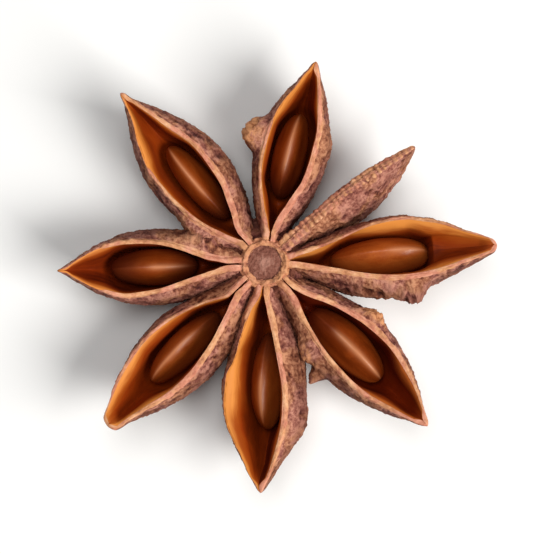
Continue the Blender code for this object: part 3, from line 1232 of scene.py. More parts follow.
    def placed(self, points: Array) -> Array:
        """Turn places from the arm's frame by its heading, and shift them to the hub.

        Args:
            points: Array of (..., 3) places in the arm's frame.

        Returns:
            The same places in the pod's frame.
        """
        turn = math.radians(self.heading)
        spin = np.array(
            [
                [math.cos(turn), math.sin(turn), 0.0],
                [-math.sin(turn), math.cos(turn), 0.0],
                [0.0, 0.0, 1.0],
            ]
        )
        return points @ spin + np.array([SIZES.hub_x, SIZES.hub_y, 0.0])

    def chamber_half(self) -> float:
        """Half the length of the seed's chamber, as a share of the arm."""
        return SIZES.seed_half_share + SIZES.seed_end_gap / self.length

    def girth(self, x: Array) -> Array:
        """Girth of the seed: 1 minus the square of the share of its half-length, to a power."""
        share = (x - self.seed_at) / SIZES.seed_half_share
        blunt = np.where(share > 0.0, self.seed_blunt, SIZES.seed_blunt_inwards)
        return np.clip(1.0 - share**2, 0.0, 1.0) ** (0.5 * blunt)


class Zone(Enum):
    """What a point of a section is on."""

    BARK = 0
    LIP = 1
    LINING = 2


@dataclass(frozen=True)
class Ring:
    """The points round a section: each one's side, zone and share of the way along its zone."""

    hand: Array
    zone: Array
    share: Array

    EVEN, BUNCHED = 0.45, 0.55

    @classmethod
    def of_steps(cls, bark_steps: int, lip_steps: int, lining_steps: int) -> "Ring":
        """Go down the right flank to the keel, up the left one, and back over the lining.

        Args:
            bark_steps: Steps from a lip to the keel.
            lip_steps: Steps over a lip.
            lining_steps: Steps from a lip to the floor.

        Returns:
            The ring, each of its arrays a single row.
        """
        bark = np.linspace(0.0, 1.0, bark_steps + 1)
        bark = cls.EVEN * bark + cls.BUNCHED * np.sin(QUARTER_TURN * bark)
        lip = np.linspace(0.0, 1.0, lip_steps + 1)[1:-1]
        lining = np.linspace(0.0, 1.0, lining_steps + 1)
        runs = (
            (Side.RIGHT, Zone.BARK, bark),
            (Side.LEFT, Zone.BARK, bark[-2::-1]),
            (Side.LEFT, Zone.LIP, lip),
            (Side.LEFT, Zone.LINING, lining),
            (Side.RIGHT, Zone.LINING, lining[-2::-1]),
            (Side.RIGHT, Zone.LIP, lip[::-1]),
        )
        hand = np.concatenate([np.full(len(run), side.value) for side, _, run in runs])
        zone = np.concatenate([np.full(len(run), zone.value) for _, zone, run in runs])
        share = np.concatenate([run for _, _, run in runs])
        return cls(hand[None, :], zone[None, :], share[None, :])

    def on(self, zone: Zone) -> Array:
        """Which points are on a zone."""
        return self.zone == zone.value

    def within(self, zone: Zone) -> Array:
        """Each point's share where it is on a zone, and 0 elsewhere."""
        return np.where(self.on(zone), self.share, 0.0)

    def pick(self, bark: Numbers, lip: Numbers, lining: Numbers) -> Array:
        """One of three numbers for each point, by its zone."""
        return np.select([self.on(Zone.BARK), self.on(Zone.LIP)], [bark, lip], lining)

    def sided(self, left: Numbers, right: Numbers) -> Array:
        """One of two numbers for each point, by its side."""
        return np.where(self.hand > 0, left, right)


class HuskPiece:
    """A part of the husk."""

    def dress(self, piece: bpy.types.Object, skin: bpy.types.Material) -> None:
        """Put a skin on it, and let it stand for the husk with the others."""
        piece.data.materials.append(skin)
        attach(piece, BODY)
        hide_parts("husk")


@dataclass
class Pocket(HuskPiece):
    """One pocket of the husk: a U-shaped wall with rounded lips, carried along its arm.

    A pair says where a change starts and ends, along the arm as in "wall_thins" or down the
    section as in "low_wall". Reaches are in halves of the seed's length from its middle. A
    name that ends in _mm is in millimetres, and a pitch is the size of a pattern along, across
    and down. The three numbers of a closing are distances from the tip: where the mouth is
    closed, where it starts to close, and where the floor starts to rise.

    Attributes:
        arm: Its line.
        bunching: How far each of the three runs of stations is bunched at its ends.
        line_apart: How far apart the lines are on which the two lips read their wander.
        hub_side: How far either side of the seed's middle the valley changes depth.
        chamber_power: Reaches where the wall turns from a V to a box.
        slack_eases: Reaches where the slack beside the seed grows.
        shift_eases: Reaches where the chamber shifts with its seed.
        deepest: Darkest painted shade that depth alone gives the lining.
        deep_mm: Depth that alone would give the lining a painted shade of 1.
        turned_flap: Shares of the way down where a shallow pocket's left side has less painted
            shade.
        unflared: Least and gain of the painted shade beside the seed under a lip without flare.
        shaded: The same beyond the seed, under a lip with shade.
        flank_shade: How dark the painted shade on the flanks of an open and of a shut pocket gets.
        fibre_down: Pitch of the streaks' coordinate down the bark, the lip and the lining.
    """

    arm: Arm
    root_stations: int = 44
    pit_stations: int = 112
    beak_stations: int = 76
    bark_steps: int = 62
    lip_steps: int = 8
    lining_steps: int = 38
    grain_seed: int = 31
    bunching: Three = (0.5, 0.65, 0.6)
    wall_thins: Pair = (0.20, 0.45)
    beak_thins: Pair = (0.62, 1.0)
    sides_differ: Pair = (0.12, 0.30)
    crevice_fades: Pair = (0.98, 0.75)
    tip_widens: Pair = (0.75, 1.0)
    mouth_opens_over: float = 0.2
    wander_mm: Pair = (0.06, 0.035)
    wander_pitches_mm: Pair = (2.3, 0.8)
    wall_waver: float = 0.35
    line_apart: float = 40.3
    sharp_closing_mm: Three = (0.35, 1.2, 2.2)
    blunt_closing_mm: Three = (0.15, 0.55, 1.4)
    root_fades: Pair = (0.98, 0.80)
    hub_side: float = 0.1
    chamber_power: Pair = (1.6, 0.9)
    slack_eases: Pair = (1.35, 0.75)
    shift_eases: Pair = (1.7, 1.0)
    floor_end_mm: float = 0.3
    warp_mm: float = 0.3
    warp_pitch_mm: float = 0.9
    coarse_mm: float = 0.12
    coarse_pitch_mm: Pitch = (1.9, 1.3, 1.3)
    fold_mm: float = 0.14
    fold_pitch_mm: Pitch = (1.3, 0.62, 0.62)
    fine_mm: float = 0.07
    fine_pitch_mm: Pitch = (0.34, 0.26, 0.26)
    ragged_pitch_mm: float = 0.7
    rung_mm: float = 0.012
    rung_pitch_mm: float = 0.52
    lip_grain_mm: float = 0.045
    lining_wave_mm: float = 0.03
    lining_pitch_mm: Pitch = (2.4, 0.8, 0.8)
    seam_mm: float = 0.16
    seam_pitch_mm: float = 0.75
    bead_pitch_mm: float = 0.5
    bead_mm: float = 0.08
    # Painted shade of the lining: how it grows with depth, beside the seed and beyond it.
    deepest: float = 0.72
    deep_mm: float = 2.8
    deep_low: float = 0.45
    beyond_seed: Pair = (0.08, 0.22)
    low_wall: Pair = (0.0, 0.25)
    turned_flap: Pair = (1.0, 0.6)
    calmer: float = 0.6
    unflared: Pair = (0.25, 0.45)
    shaded: Pair = (0.2, 0.4)
    worn_over: float = 0.04
    lip_on_bark: float = 0.016
    lip_on_lining: float = 0.04
    tick_tones: Pair = (0.66, 0.32)
    right_ticks: float = 0.7
    right_flank_ticks: float = 0.6
    # Painted shade on the bark, down its flanks and low down near the hub.
    flank_shade: Pair = (0.65, 0.2)
    flank_shade_down: Pair = (0.03, 0.17)
    painted_shade_down: Pair = (0.04, 0.30)
    painted_shade_inwards: Pair = (0.50, 0.28)
    fibre_wide: float = 2.0 * MM
    fibre_down: Three = (4.5, -0.35, -3.0)
    fibre_apart_mm: float = 23.0
    x: Array = field(init=False)
    ring: Ring = field(init=False)
    grain: Grain = field(init=False)
    outer: Array = field(init=False)
    inner: Array = field(init=False)

    def __post_init__(self) -> None:
        """Settle the stations, the points of a section and the edges of the lips."""
        self.x = self.stations()
        self.ring = Ring.of_steps(self.bark_steps, self.lip_steps, self.lining_steps)
        self.grain = Grain(self.grain_seed + self.arm.number)
        self.outer, self.inner = self.lips()

    def stations(self) -> Array:
        """Shares of the arm that have a section, closer together at the chamber's ends.

        Returns:
            A column of shares.
        """
        arm = self.arm
        start = SIZES.arm_start / arm.length
        first = arm.seed_at - arm.chamber_half()
        last = arm.seed_at + arm.chamber_half()
        at_root, at_pit, at_beak = self.bunching
        root = start + (first - start) * self.eased(self.root_stations, at_root)[:-1]
        chamber = first + (last - first) * self.eased(self.pit_stations, at_pit)
        beak = last + (1.0 - last) * self.eased(self.beak_stations, at_beak)[1:]
        return np.concatenate([root, chamber, beak])[:, None]

    @staticmethod
    def eased(count: int, share: float) -> Array:
        """Steps from 0 to 1 that are partly even and partly bunched at both ends."""
        even = np.linspace(0.0, 1.0, count + 1)
        return (1.0 - share) * even + share * (0.5 - 0.5 * np.cos(HALF_TURN * even))

    def lips(self) -> tuple[Array, Array]:
        """Outer and inner edge of the lip on each side, as distances from the mouth's middle.

        The lens curve opens from the crevice's half-width, which narrows in the beak. Kinks
        are humps added to it, and two slow noises make it wander.

        Returns:
            Outer and inner distance of each point, by its station and its side.
        """
        arm, x, hand, grain = self.arm, self.x, self.ring.hand, Grain(self.arm.number)
        root, middle, tip = SIZES.lip_thicknesses
        thick = root + (middle - root) * ease(x, *self.wall_thins)
        thick = thick + (tip - middle) * ease(x, *self.beak_thins)
        share = self.ring.sided(arm.left.thickness, arm.right.thickness)
        share = 1.0 + (share - 1.0) * ease(x, *self.sides_differ)
        edge = 0.5 * thick * share
        least = 0.5 * thick + SIZES.crevice_half * ease(x, *self.crevice_fades)
        least = least + arm.tip_half_mm * MM * ease(x, *self.tip_widens)
        opened = arm.lens(x, arm.open_from, arm.widest, arm.beak)
        lip = least + (arm.lip_half_mm * MM - least) * opened + np.zeros_like(hand)
        for kink in arm.kinks:
            bend = kink.out_mm * MM * bell(x, kink.along, kink.long)
            lip = lip + (hand == kink.side.value) * bend
        run = [x * arm.length / MM + 0 * hand, self.line_apart * hand + 0 * x, 0.3 + 0 * x * hand]
        run = np.stack(run, axis=-1)
        slow_pitch, quick_pitch = self.wander_pitches_mm
        slow = grain.smooth(run / (slow_pitch, 1.0, 1.0))
        quick = grain.smooth(run / (quick_pitch, 1.0, 1.0) + 5.0)
        wander = (self.wander_mm[0] * slow + self.wander_mm[1] * quick) * MM
        wander = wander * ease(x, arm.open_from, arm.open_from + self.mouth_opens_over)
        lip = np.maximum(lip + wander, 0.6 * least)
        wall = edge * (1.0 + self.wall_waver * quick)
        near, far, _ = self.closing_mm()
        closing = ease(x, arm.short_of_tip(near), arm.short_of_tip(far))
        inner = np.maximum(lip - wall, 0.2 * lip) * closing
        return lip + wall, np.maximum(inner, SIZES.mouth_least)

    def closing_mm(self) -> Three:
        """How far from the tip the mouth is closed, starts to close, and the floor to rise."""
        return self.blunt_closing_mm if self.arm.tip_half_mm else self.sharp_closing_mm

    def bark(self) -> tuple[Array, Array]:
        """Outer contour: out from the lip to the belly, then in to the keel.

        The half-width goes from the lip's to the belly's by a quarter sine of the level, and
        is multiplied by a power of the cosine of the level that closes it at the keel.

        Returns:
            Distance across, on its own side, and distance down.
        """
        arm, x, level = self.arm, self.x, self.ring.within(Zone.BARK)
        depth = arm.depth(x)
        swell = arm.belly_half_mm * MM * arm.lens(x, 0.0, SIZES.belly_at, arm.belly_beak)
        least = SIZES.root_half * ease(x, *self.root_fades)
        belly = np.maximum(np.maximum(swell, least), self.outer)
        near_lip = np.sin(QUARTER_TURN * np.clip(level / SIZES.belly_level, 0.0, 1.0))
        half = (self.outer + (belly - self.outer) * near_lip) * self.closing(level)
        rounding = SIZES.lip_round * np.minimum(1.0, depth / SIZES.round_from)
        return half, rounding + (depth - rounding) * level

    @staticmethod
    def closing(level: Array) -> Array:
        """Share of the half-width that is left at a level: 1 at the lips, 0 at the keel."""
        cosine = np.clip(np.cos(QUARTER_TURN * level**SIZES.keel_round), 0.0, 1.0)
        return cosine**SIZES.keel_blunt

    def cavity(self, reach: Array, room: Array) -> tuple[Array, Array]:
        """Depth of the hollow along the arm: a chamber round the seed, sunk in a valley.

        Args:
            reach: Distance from the seed's middle, in halves of its length.
            room: How far the chamber is opened, from 0 to 1.

        Returns:
            The depth, and the depth of the valley alone.
        """
        arm, x = self.arm, self.x
        depth = arm.depth(x)
        floor = np.maximum(depth - SIZES.floor_thickness, SIZES.floor_least * depth)
        opened = np.clip((x - arm.open_from) / SIZES.valley_opens_over, 0.0, 1.0)
        at_hub = ease(x, arm.seed_at + self.hub_side, arm.seed_at - self.hub_side)
        deepest = SIZES.valley_share * (1.0 - arm.shallow)
        deepest = deepest + (SIZES.valley_share_hub - deepest) * at_hub
        valley = SIZES.crevice_depth + (deepest * floor - SIZES.crevice_depth) * opened
        pit = SIZES.seed_below_rim + (SIZES.seed_half_depth + SIZES.seed_gap) * room
        reaches = zip(SIZES.cliff_reaches, SIZES.cliff_nearer, strict=True)
        outer, inner = (far - nearer * arm.shallow for far, nearer in reaches)
        pit = valley + (pit - valley) * ease(reach, outer, inner)
        *_, far = self.closing_mm()
        end = ease(x, arm.short_of_tip(self.floor_end_mm), arm.short_of_tip(far))
        return np.maximum(np.minimum(pit, floor) * end, SIZES.hollow_least), valley * end

    def lining(self) -> tuple[Array, Array, Array]:
        """Inner contour: a swollen bevel from the lip to the knee, then the chamber's wall.

        Up to a half of the share, the point is between a straight line and a quarter ellipse
        from lip to knee. Past it, the distance across is a power of a cosine and the depth the
        same power of a sine: a box round the seed, and a plain V in the beak. The knee's
        depth and distance across are smooth extremes, so that no crease runs along it.

        Returns:
            Distance across, on its own side, distance down, and the chamber's shift.
        """
        arm, x, share, inner = self.arm, self.x, self.ring.within(Zone.LINING), self.inner
        reach = np.abs(x - arm.seed_at) / SIZES.seed_half_share
        room = ease(reach, *SIZES.room_eases)
        cavity, valley = self.cavity(reach, room)
        power = ease(reach, *self.chamber_power)
        power = SIZES.valley_power + (SIZES.pit_power - SIZES.valley_power) * power
        roof = -0.5 * np.minimum(cavity, valley)
        knee_down = -soft_most(-SIZES.knee_depth + 0 * cavity, roof, SIZES.knee_blur)
        snug = SIZES.knee_share * (arm.seed_half + SIZES.seed_gap) * room
        plain = 0.5 * np.maximum(inner, SIZES.crevice_half * (x < 0.9))
        knee = soft_most(snug, plain, SIZES.knee_blur * np.minimum(1.0, plain / SIZES.knee_blur))
        flare = self.ring.sided(arm.left.flare, arm.right.flare)
        slack = (1.0 - flare) * SIZES.slack_share * ease(reach, *self.slack_eases)
        knee = knee + slack * np.maximum(inner - knee, 0.0)
        bevel = np.clip(2.0 * share, 0.0, 1.0)
        turn = QUARTER_TURN * bevel
        swell = SIZES.knee_swell
        fall = (1.0 - swell) * bevel + swell * (1.0 - np.cos(turn))
        draw = (1.0 - swell) * (1.0 - bevel) + swell * (1.0 - np.sin(turn))
        turn = QUARTER_TURN * np.clip(2.0 * share - 1.0, 0.0, 1.0)
        across = (knee + (inner - knee) * draw) * np.clip(np.cos(turn), 0.0, 1.0) ** power
        down = knee_down * fall + (cavity - knee_down) * np.sin(turn) ** power
        low = ease(down / MM, 0.5 * SIZES.knee_depth / MM, SIZES.seed_below_rim / MM)
        return across, down, arm.seed_shift_mm * MM * ease(reach, *self.shift_eases) * low

    def seam(self) -> tuple[Array, Array, Array]:
        """Top of a shut pocket: from the lip's edge up to a low ridge in the middle."""
        share, inner = self.ring.within(Zone.LINING), self.inner
        fade = np.clip(1.0 - self.x, 0.0, 1.0) ** SIZES.ridge_fade
        height = SIZES.ridge_height * np.sin(QUARTER_TURN * share) * fade
        return inner * (1.0 - share), -height + 0 * inner, 0 * inner

    def skin(self) -> tuple[Loft, Array]:
        """The pocket in its arm's frame, before its relief.

        Between the outer and the inner contour, each lip is half a turn of an ellipse whose
        top is at the mouth's height. Near either end the sections shrink towards their
        middles by a quarter circle, so that the root and the tip are round.

        Returns:
            The loft, and the distance down of each of its points.
        """
        arm, x, ring = self.arm, self.x, self.ring
        bark_across, bark_down = self.bark()
        inner_contour = self.lining if arm.mouth is Mouth.OPEN else self.seam
        in_across, in_down, in_shift = inner_contour()
        turn = HALF_TURN * ring.within(Zone.LIP)
        lip_across = 0.5 * (bark_across + in_across + (bark_across - in_across) * np.cos(turn))
        lip_down = bark_down * 0.5 * (1.0 + np.cos(turn)) * (1.0 - np.sin(turn))
        across = ring.pick(bark_across, lip_across, in_across)
        down = ring.pick(bark_down, lip_down, in_down)
        from_hub = x * arm.length - SIZES.arm_start
        dip = SIZES.root_dip * ease(from_hub, SIZES.root_dip_noses * SIZES.root_nose, 0.0)
        down = down + dip * ease(bark_down, SIZES.root_dip_deep, 0.0)
        shift = np.where(ring.on(Zone.LINING), in_shift, 0.0)
        nose = np.clip(1.0 - (1.0 - x) * arm.length / SIZES.tip_nose, 0.0, 0.98)
        root = 0.55 * np.clip(1.0 - from_hub / SIZES.root_nose, 0.0, 1.0)
        shrink = np.sqrt(1.0 - nose**2) * np.sqrt(1.0 - root**2)
        middle = np.where(nose > 0.0, 0.45 * arm.depth(x), 0.0)
        down_shrunk = middle + (down - middle) * np.sqrt(1.0 - nose**2)
        points = arm.at(x + 0 * across, (ring.hand * across + shift) * shrink, down_shrunk)
        return Loft(points, points[0, 0], points[-1, 0]), down

    def relief(self, loft: Loft) -> tuple[Array, Array]:
        """Height of the relief over the plain skin, in metres, and its small part alone.

        On the bark, slow swellings, folds drawn out along the arm, fine grains and rungs
        under the lips are added, and the named lumps with ragged tops. Lips have grains. The
        lining has only a faint slow wave. Each pattern is read at an offset of its own.

        Args:
            loft: The plain skin, in the arm's frame.

        Returns:
            Heights, one for each point, and how crested each point is, about -1 to 1.
        """
        arm, grain, x, level = self.arm, self.grain, self.x, self.ring.share
        shut = arm.mouth is Mouth.SHUT
        place = loft.rings / MM
        place = place + self.warp_mm * grain.smooth(place / self.warp_pitch_mm)[..., None]
        coarse = grain.rough(place / self.coarse_pitch_mm, 2) * self.coarse_mm
        folds = grain.creases(place / self.fold_pitch_mm + 3.0, 3) * self.fold_mm
        fine = grain.rough(place / self.fine_pitch_mm + 7.0, 2)
        run = x * arm.length / MM
        rungs = np.cos(FULL_TURN * (run / self.rung_pitch_mm + 0.5 * coarse / self.coarse_mm))
        rungs = rungs * bell(level, 0.06, 0.07) * self.rung_mm
        bark = (coarse + folds) * (0.3 + 0.7 * ease(level, 0.0, 0.12)) + rungs
        bark = bark + fine * self.fine_mm * (0.6 + 0.4 * ease(level, 0.0, 0.1))
        if shut:
            bark = bark + grain.rough(place / self.seam_pitch_mm + 21.0, 2) * self.seam_mm
        crested = (folds + fine * self.fine_mm + 0.3 * coarse) / (self.fold_mm + self.fine_mm)
        ragged = grain.creases(place / self.ragged_pitch_mm + 11.0, 3)
        for lump in arm.lumps:
            shape = lump.high_mm * self.lump_shape(lump)
            bark = bark + shape * (1.0 + lump.ragged * ragged)
            crested = crested + 1.5 * shape * lump.ragged * (ragged - 0.3)
        lip = fine * self.lip_grain_mm + coarse * 0.25
        lining = grain.smooth(place / self.lining_pitch_mm) * self.lining_wave_mm
        if shut:
            lining = lip + self.beads() * (1.0 - 0.5 * level)
            lip = lip + self.beads()
        height = self.ring.pick(bark, lip, lining * ease(level, 0.0, 0.2))
        to_tip = (1.0 - x) * arm.length / MM
        fade = 0.25 * ease(to_tip, 0.0, 0.5) + 0.75 * ease(to_tip, 0.3, 3.0)
        return height * MM * fade, crested

    def lump_shape(self, lump: Lump) -> Array:
        """A lump's share of its full height: a round hump, e to minus a power of the distance."""
        level = self.ring.share
        away = ((self.x - lump.along) / lump.long) ** 2 + ((level - lump.level) / lump.spread) ** 2
        shape = np.exp(-(away**lump.steep)) * ease(level, 0.0, 0.05)
        return shape * ((self.ring.hand == lump.side.value) & self.ring.on(Zone.BARK))

    def beads(self) -> Array:
        """Ticks across a shut seam: a cosine along it whose pitch and height wander.

        Returns:
            A column of heights in millimetres.
        """
        run = self.x * self.arm.length / MM
        line = np.concatenate([run, 0.3 + 0 * run, 0.3 + 0 * run], axis=-1)
        drift = 0.5 * self.grain.smooth(line / 1.3)[:, None]
        high = 0.7 + 0.6 * self.grain.smooth(line / 0.7 + 4.0)[:, None]
        return self.bead_mm * high * np.cos(FULL_TURN * (run / self.bead_pitch_mm + drift))

    def deep(self, down: Array) -> Array:
        """How much painted shade the lining has: 0 is bright, 1 is darkest.

        It grows with the depth and with the share from lip to floor, less so where the pocket
        is shallow. A lip with little flare darkens the wall beside the seed, and one with
        shade darkens the wall beyond it.

        Args:
            down: Distance down of each point.

        Returns:
            The painted shade of each point.
        """
        arm, x, ring, share = self.arm, self.x, self.ring, self.ring.share
        flare = ring.sided(arm.left.flare, arm.right.flare)
        shade = ring.sided(arm.left.shade, arm.right.shade)
        starts, whole = self.beyond_seed
        beyond = ease(x, arm.seed_at + starts, arm.seed_at + whole)
        low_wall, flap = ease(share, *self.low_wall), ease(share, *self.turned_flap)
        valley = ease(x, arm.seed_at + self.hub_side, arm.seed_at + whole)
        calm = self.calmer * arm.shallow * np.maximum(valley, ring.sided(flap, 0.0))
        deep = (1.0 - calm) * (down / (self.deep_mm * MM) + self.deep_low * share)
        least, gain = self.unflared
        deep = deep + (1.0 - flare) * (1.0 - beyond) * (least + gain * low_wall)
        least, gain = self.shaded
        deep = np.minimum(deep + shade * beyond * (least + gain * low_wall), self.deepest)
        return deep + (1.0 - self.deepest) * shade * beyond * low_wall

    def edges(self) -> tuple[Array, Array]:
        """How much each point shows the lip's finish, and how much the lining's.

        The lip's also reaches a little way on to the bark and the lining. A shut pocket has
        no lining, and its beads take the lip's finish by their height.

        Returns:
            The two shares.
        """
        arm, ring, share = self.arm, self.ring, self.ring.share
        worn_from = ring.sided(arm.left.worn_from, arm.right.worn_from)
        worn = ease(self.x, worn_from + self.worn_over, worn_from - self.worn_over)
        on_lining = bell(share, 0.0, self.lip_on_lining)
        if arm.mouth is Mouth.OPEN:
            edge = ring.pick(bell(share, 0.0, self.lip_on_bark), 1.0, on_lining)
            return edge * worn, ring.pick(0.0, share * (1.0 - 0.5 * worn), 1.0)
        least, gain = self.tick_tones
        ticks = least + gain * self.beads() / self.bead_mm
        ticks = ticks * ring.sided(1.0, self.right_ticks)
        flank = ticks * on_lining * ring.sided(1.0, self.right_flank_ticks)
        return ring.pick(flank, ticks, ticks) * worn, 0.0 * share

    def fields(self, down: Array, crested: Array) -> dict[str, Array]:
        """Shares that part the finishes, and the coordinates in which they are drawn.

        The coordinates are lengths along the arm, across it and down the contour, each a
        function of the station or of the place on the ring alone, so that streaks follow the
        lips.

        Args:
            down: Distance down of each point.
            crested: How crested each point's relief is.

        Returns:
            The fields by name.
        """
        arm, x, ring, share = self.arm, self.x, self.ring, self.ring.share
        whole = np.zeros_like(crested)
        opened = arm.mouth is Mouth.OPEN
        lining = ring.on(Zone.LINING) & opened
        edge, inside = self.edges()
        # Painted shade on the bark: darker down the flanks, and low down towards the hub.
        flank = self.flank_shade[0 if opened else 1] * ease(share, *self.flank_shade_down)
        cleft = np.maximum(ease(share, *self.painted_shade_down) * ease(x, *self.painted_shade_inwards), flank)
        raw, high = whole, whole
        for lump in arm.lumps:
            shape = self.lump_shape(lump)
            raw, high = raw + lump.raw * shape, high + lump.high_mm * shape
        across = ring.pick(self.closing(share), 1.0, 1.0 - share)
        across = self.fibre_wide * ring.hand * across + ring.hand * high * MM
        bark, lip, inner = self.fibre_down
        lower = ring.pick(bark * share, lip * share, lip + inner * share) * MM
        fibre = np.stack([x * arm.length + whole, across, lower + whole], axis=-1)
        return {
            "edge": edge + whole,
            "inside": inside + whole,
            # Painted shade of the lining.
            "deep": lining * np.clip(self.deep(down), 0.0, 1.0) + whole,
            # Painted shade over a whole pocket's lining.
            "sombre": arm.sombre * lining + whole,
            # Painted shade on the bark.
            "cleft": ring.on(Zone.BARK) * cleft + whole,
            "raw": np.clip(raw, 0.0, 1.0),
            "crest": np.clip(0.5 + 0.5 * crested, 0.0, 1.0),
            "fibre": fibre + arm.number * self.fibre_apart_mm * MM,
        }

    def build(self) -> bpy.types.Object:
        """Build the mesh: the plain skin, its relief and the shares that part the finishes.

        Returns:
            The object.
        """
        loft, down = self.skin()
        height, crested = self.relief(loft)
        loft.swell(height)
        loft.rings = np.maximum(self.arm.placed(loft.rings), np.array([-1.0, -1.0, 0.0]))
        keel = loft.rings[:, self.bark_steps]
        root, tip = loft.rings[0].mean(axis=0), loft.rings[-1].mean(axis=0)
        loft.first_pole, loft.last_pole = 0.5 * (root + keel[0]), tip
        loft.fields = self.fields(down, crested)
        return loft.mesh(f"pocket_{self.arm.name}")


@dataclass
class Seed:
    """A flattened bean that stands on its edge in a pocket's chamber.

    "Outwards" is the place along the seed, -1 at its end towards the hub and 1 at the other,
    and "sideways" is 0 on its crest and its keel and 1 where it is widest. A pair says where
    a change starts and ends, in one or the other. Widths are turns round the seed.

    Attributes:
        arm: The line of its pocket.
        crest: How far its top is drawn in.
        line_fades: How girthy the seed is, from 0 to 1, where the line starts and is whole.
        line_seen: How much wider than the raised line its colour is.
        lit_edges: How far past the ends of the lit stretch the line has gone, and is whole.
        sheen_long: Half-length of the painted sheen, in halves of the lit stretch.
        sheen_off: How far outwards of the lit stretch's middle the painted sheen is.
        side_darkest: Sideways, where the painted shade on the side is darkest, and over how much.
    """

    arm: Arm
    rings: int = 72
    sides: int = 72
    grain_seed: int = 71
    crest: float = 0.18
    line_mm: float = 0.06
    line_wide: float = 0.15
    line_fades: Pair = (0.1, 0.5)
    line_seen: float = 1.3
    lit_edges: Pair = (0.25, -0.15)
    dent_mm: float = 0.05
    dent_pitch_mm: float = 1.7
    # Width and length of the painted sheen.
    sheen_wide: float = 0.75
    sheen_long: float = 1.3
    sheen_off: float = 0.15
    # Where the painted shade on the outer end, the end towards the hub and the sides lies.
    dims: Pair = (-0.1, 0.7)
    end_darkens: Pair = (0.0, -0.95)
    side_darkest: Pair = (0.62, 0.5)
    # Where the painted light on the widest sides lies.
    side_light_shows: Pair = (0.70, 0.98)
    fibre_apart_mm: float = 17.0

    def build(self) -> bpy.types.Object:
        """Build the mesh.

        Along the seed the place is a cosine and the girth a power of a sine. Round it, the
        distances across and down are the cosine and the sine of the turn, with the top drawn
        in to a crest, on which a narrow hump makes the raised line.

        Returns:
            The object.
        """
        arm, grain = self.arm, Grain(self.grain_seed + self.arm.number)
        along = np.linspace(0.0, HALF_TURN, self.rings + 2)[1:-1][:, None]
        around = (np.arange(self.sides) * (FULL_TURN / self.sides))[None, :]
        x = arm.seed_at - SIZES.seed_half_share * np.cos(along) + 0 * around
        girth = arm.girth(x)
        drawn = 1.0 - self.crest * np.clip(np.sin(around), 0.0, 1.0) ** 2
        shift = arm.seed_shift_mm * MM
        across = shift + arm.seed_half * girth * np.cos(around) * drawn
        below = SIZES.seed_below_rim - SIZES.seed_half_depth * girth * np.sin(around)
        points = arm.at(x, across, below)
        ends = arm.seed_at + SIZES.seed_half_share * np.array([-1.0, 1.0])
        poles = arm.at(ends, shift + 0 * ends, SIZES.seed_below_rim + 0 * ends)
        loft = Loft(points, poles[0], poles[1])
        line = bell(around, QUARTER_TURN, self.line_wide) * ease(np.sin(along), *self.line_fades)
        dents = grain.rough(points / MM / self.dent_pitch_mm, 2)
        loft.swell((self.line_mm * line + self.dent_mm * dents * np.sin(along)) * MM)
        loft.fields = self.fields(along, around)
        loft.rings = arm.placed(loft.rings)
        loft.first_pole, loft.last_pole = arm.placed(poles)
        return loft.mesh(f"kernel_{arm.name}")

    def fields(self, along: Array, around: Array) -> dict[str, Array]:
        """Shares that the coat is drawn by, and the coordinates in which its grain is drawn.

        Args:
            along: Turn of each station, 0 at the end towards the hub and half a turn at the
                other, as a column.
            around: Turn of each point round the seed, a quarter turn on the crest, as a row.

        Returns:
            The fields by name.
        """
        arm, whole = self.arm, 0 * along + 0 * around
        outwards, sideways = -np.cos(along), np.abs(np.cos(around))
        # The lit stretch of the crest, where the pale line carries a painted highlight.
        middle, half = arm.seed_lit
        faded, lined = self.lit_edges
        lit = ease(np.abs(outwards - middle), half + faded, half + lined)
        # Painted sheen: a reflection of the lamp on the crest.
        sheen = bell(around, QUARTER_TURN, self.sheen_wide)
        sheen = sheen * bell(outwards, middle + self.sheen_off, self.sheen_long * half)
        # Painted shade on the end towards the hub, and on the outer end.
        ends = arm.seed_shade * ease(outwards, *self.end_darkens)
        ends = ends + arm.seed_dim * ease(outwards, *self.dims)
        lengthwise = SIZES.seed_half_share * arm.length * (1.0 - np.cos(along))
        widthwise = SIZES.seed_half_thick * np.cos(around)
        upwards = SIZES.seed_half_depth * np.sin(around)
        fibre = np.stack([lengthwise + whole, widthwise + whole, upwards + whole], axis=-1)
        return {
            # The pale line, partly a painted highlight over the lit stretch.
            "line": bell(around, QUARTER_TURN, self.line_seen * self.line_wide) * lit,
            # Painted sheen.
            "sheen": sheen,
            # Painted shade on the ends.
            "ends": ends + whole,
            # Painted shade on the sides.
            "side": arm.seed_shade * (bell(sideways, *self.side_darkest) + whole),
            # Painted light on the widest sides.
            "rim": ease(sideways, *self.side_light_shows) + whole,
            "tone": arm.seed_tone + whole,
            "fibre": fibre + arm.number * self.fibre_apart_mm * MM,
        }

    def dress(self, piece: bpy.types.Object, coat: bpy.types.Material) -> None:
        """Put the seed's coat on it, and let it stand for its seed.

        Args:
            piece: The seed's object.
            coat: Its material.
        """
        node = f"seed_{self.arm.name}"
        piece.data.materials.append(coat)
        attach(piece, BODY)
        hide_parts(node)
        low, high = (np.array(corner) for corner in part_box(node))
        made = np.array([vertex.co for vertex in piece.data.vertices])
        off = max(np.abs(made.min(axis=0) - low).max(), np.abs(made.max(axis=0) - high).max())
        log.info("%s is within %.2f mm of its solid's box", piece.name, off / MM)


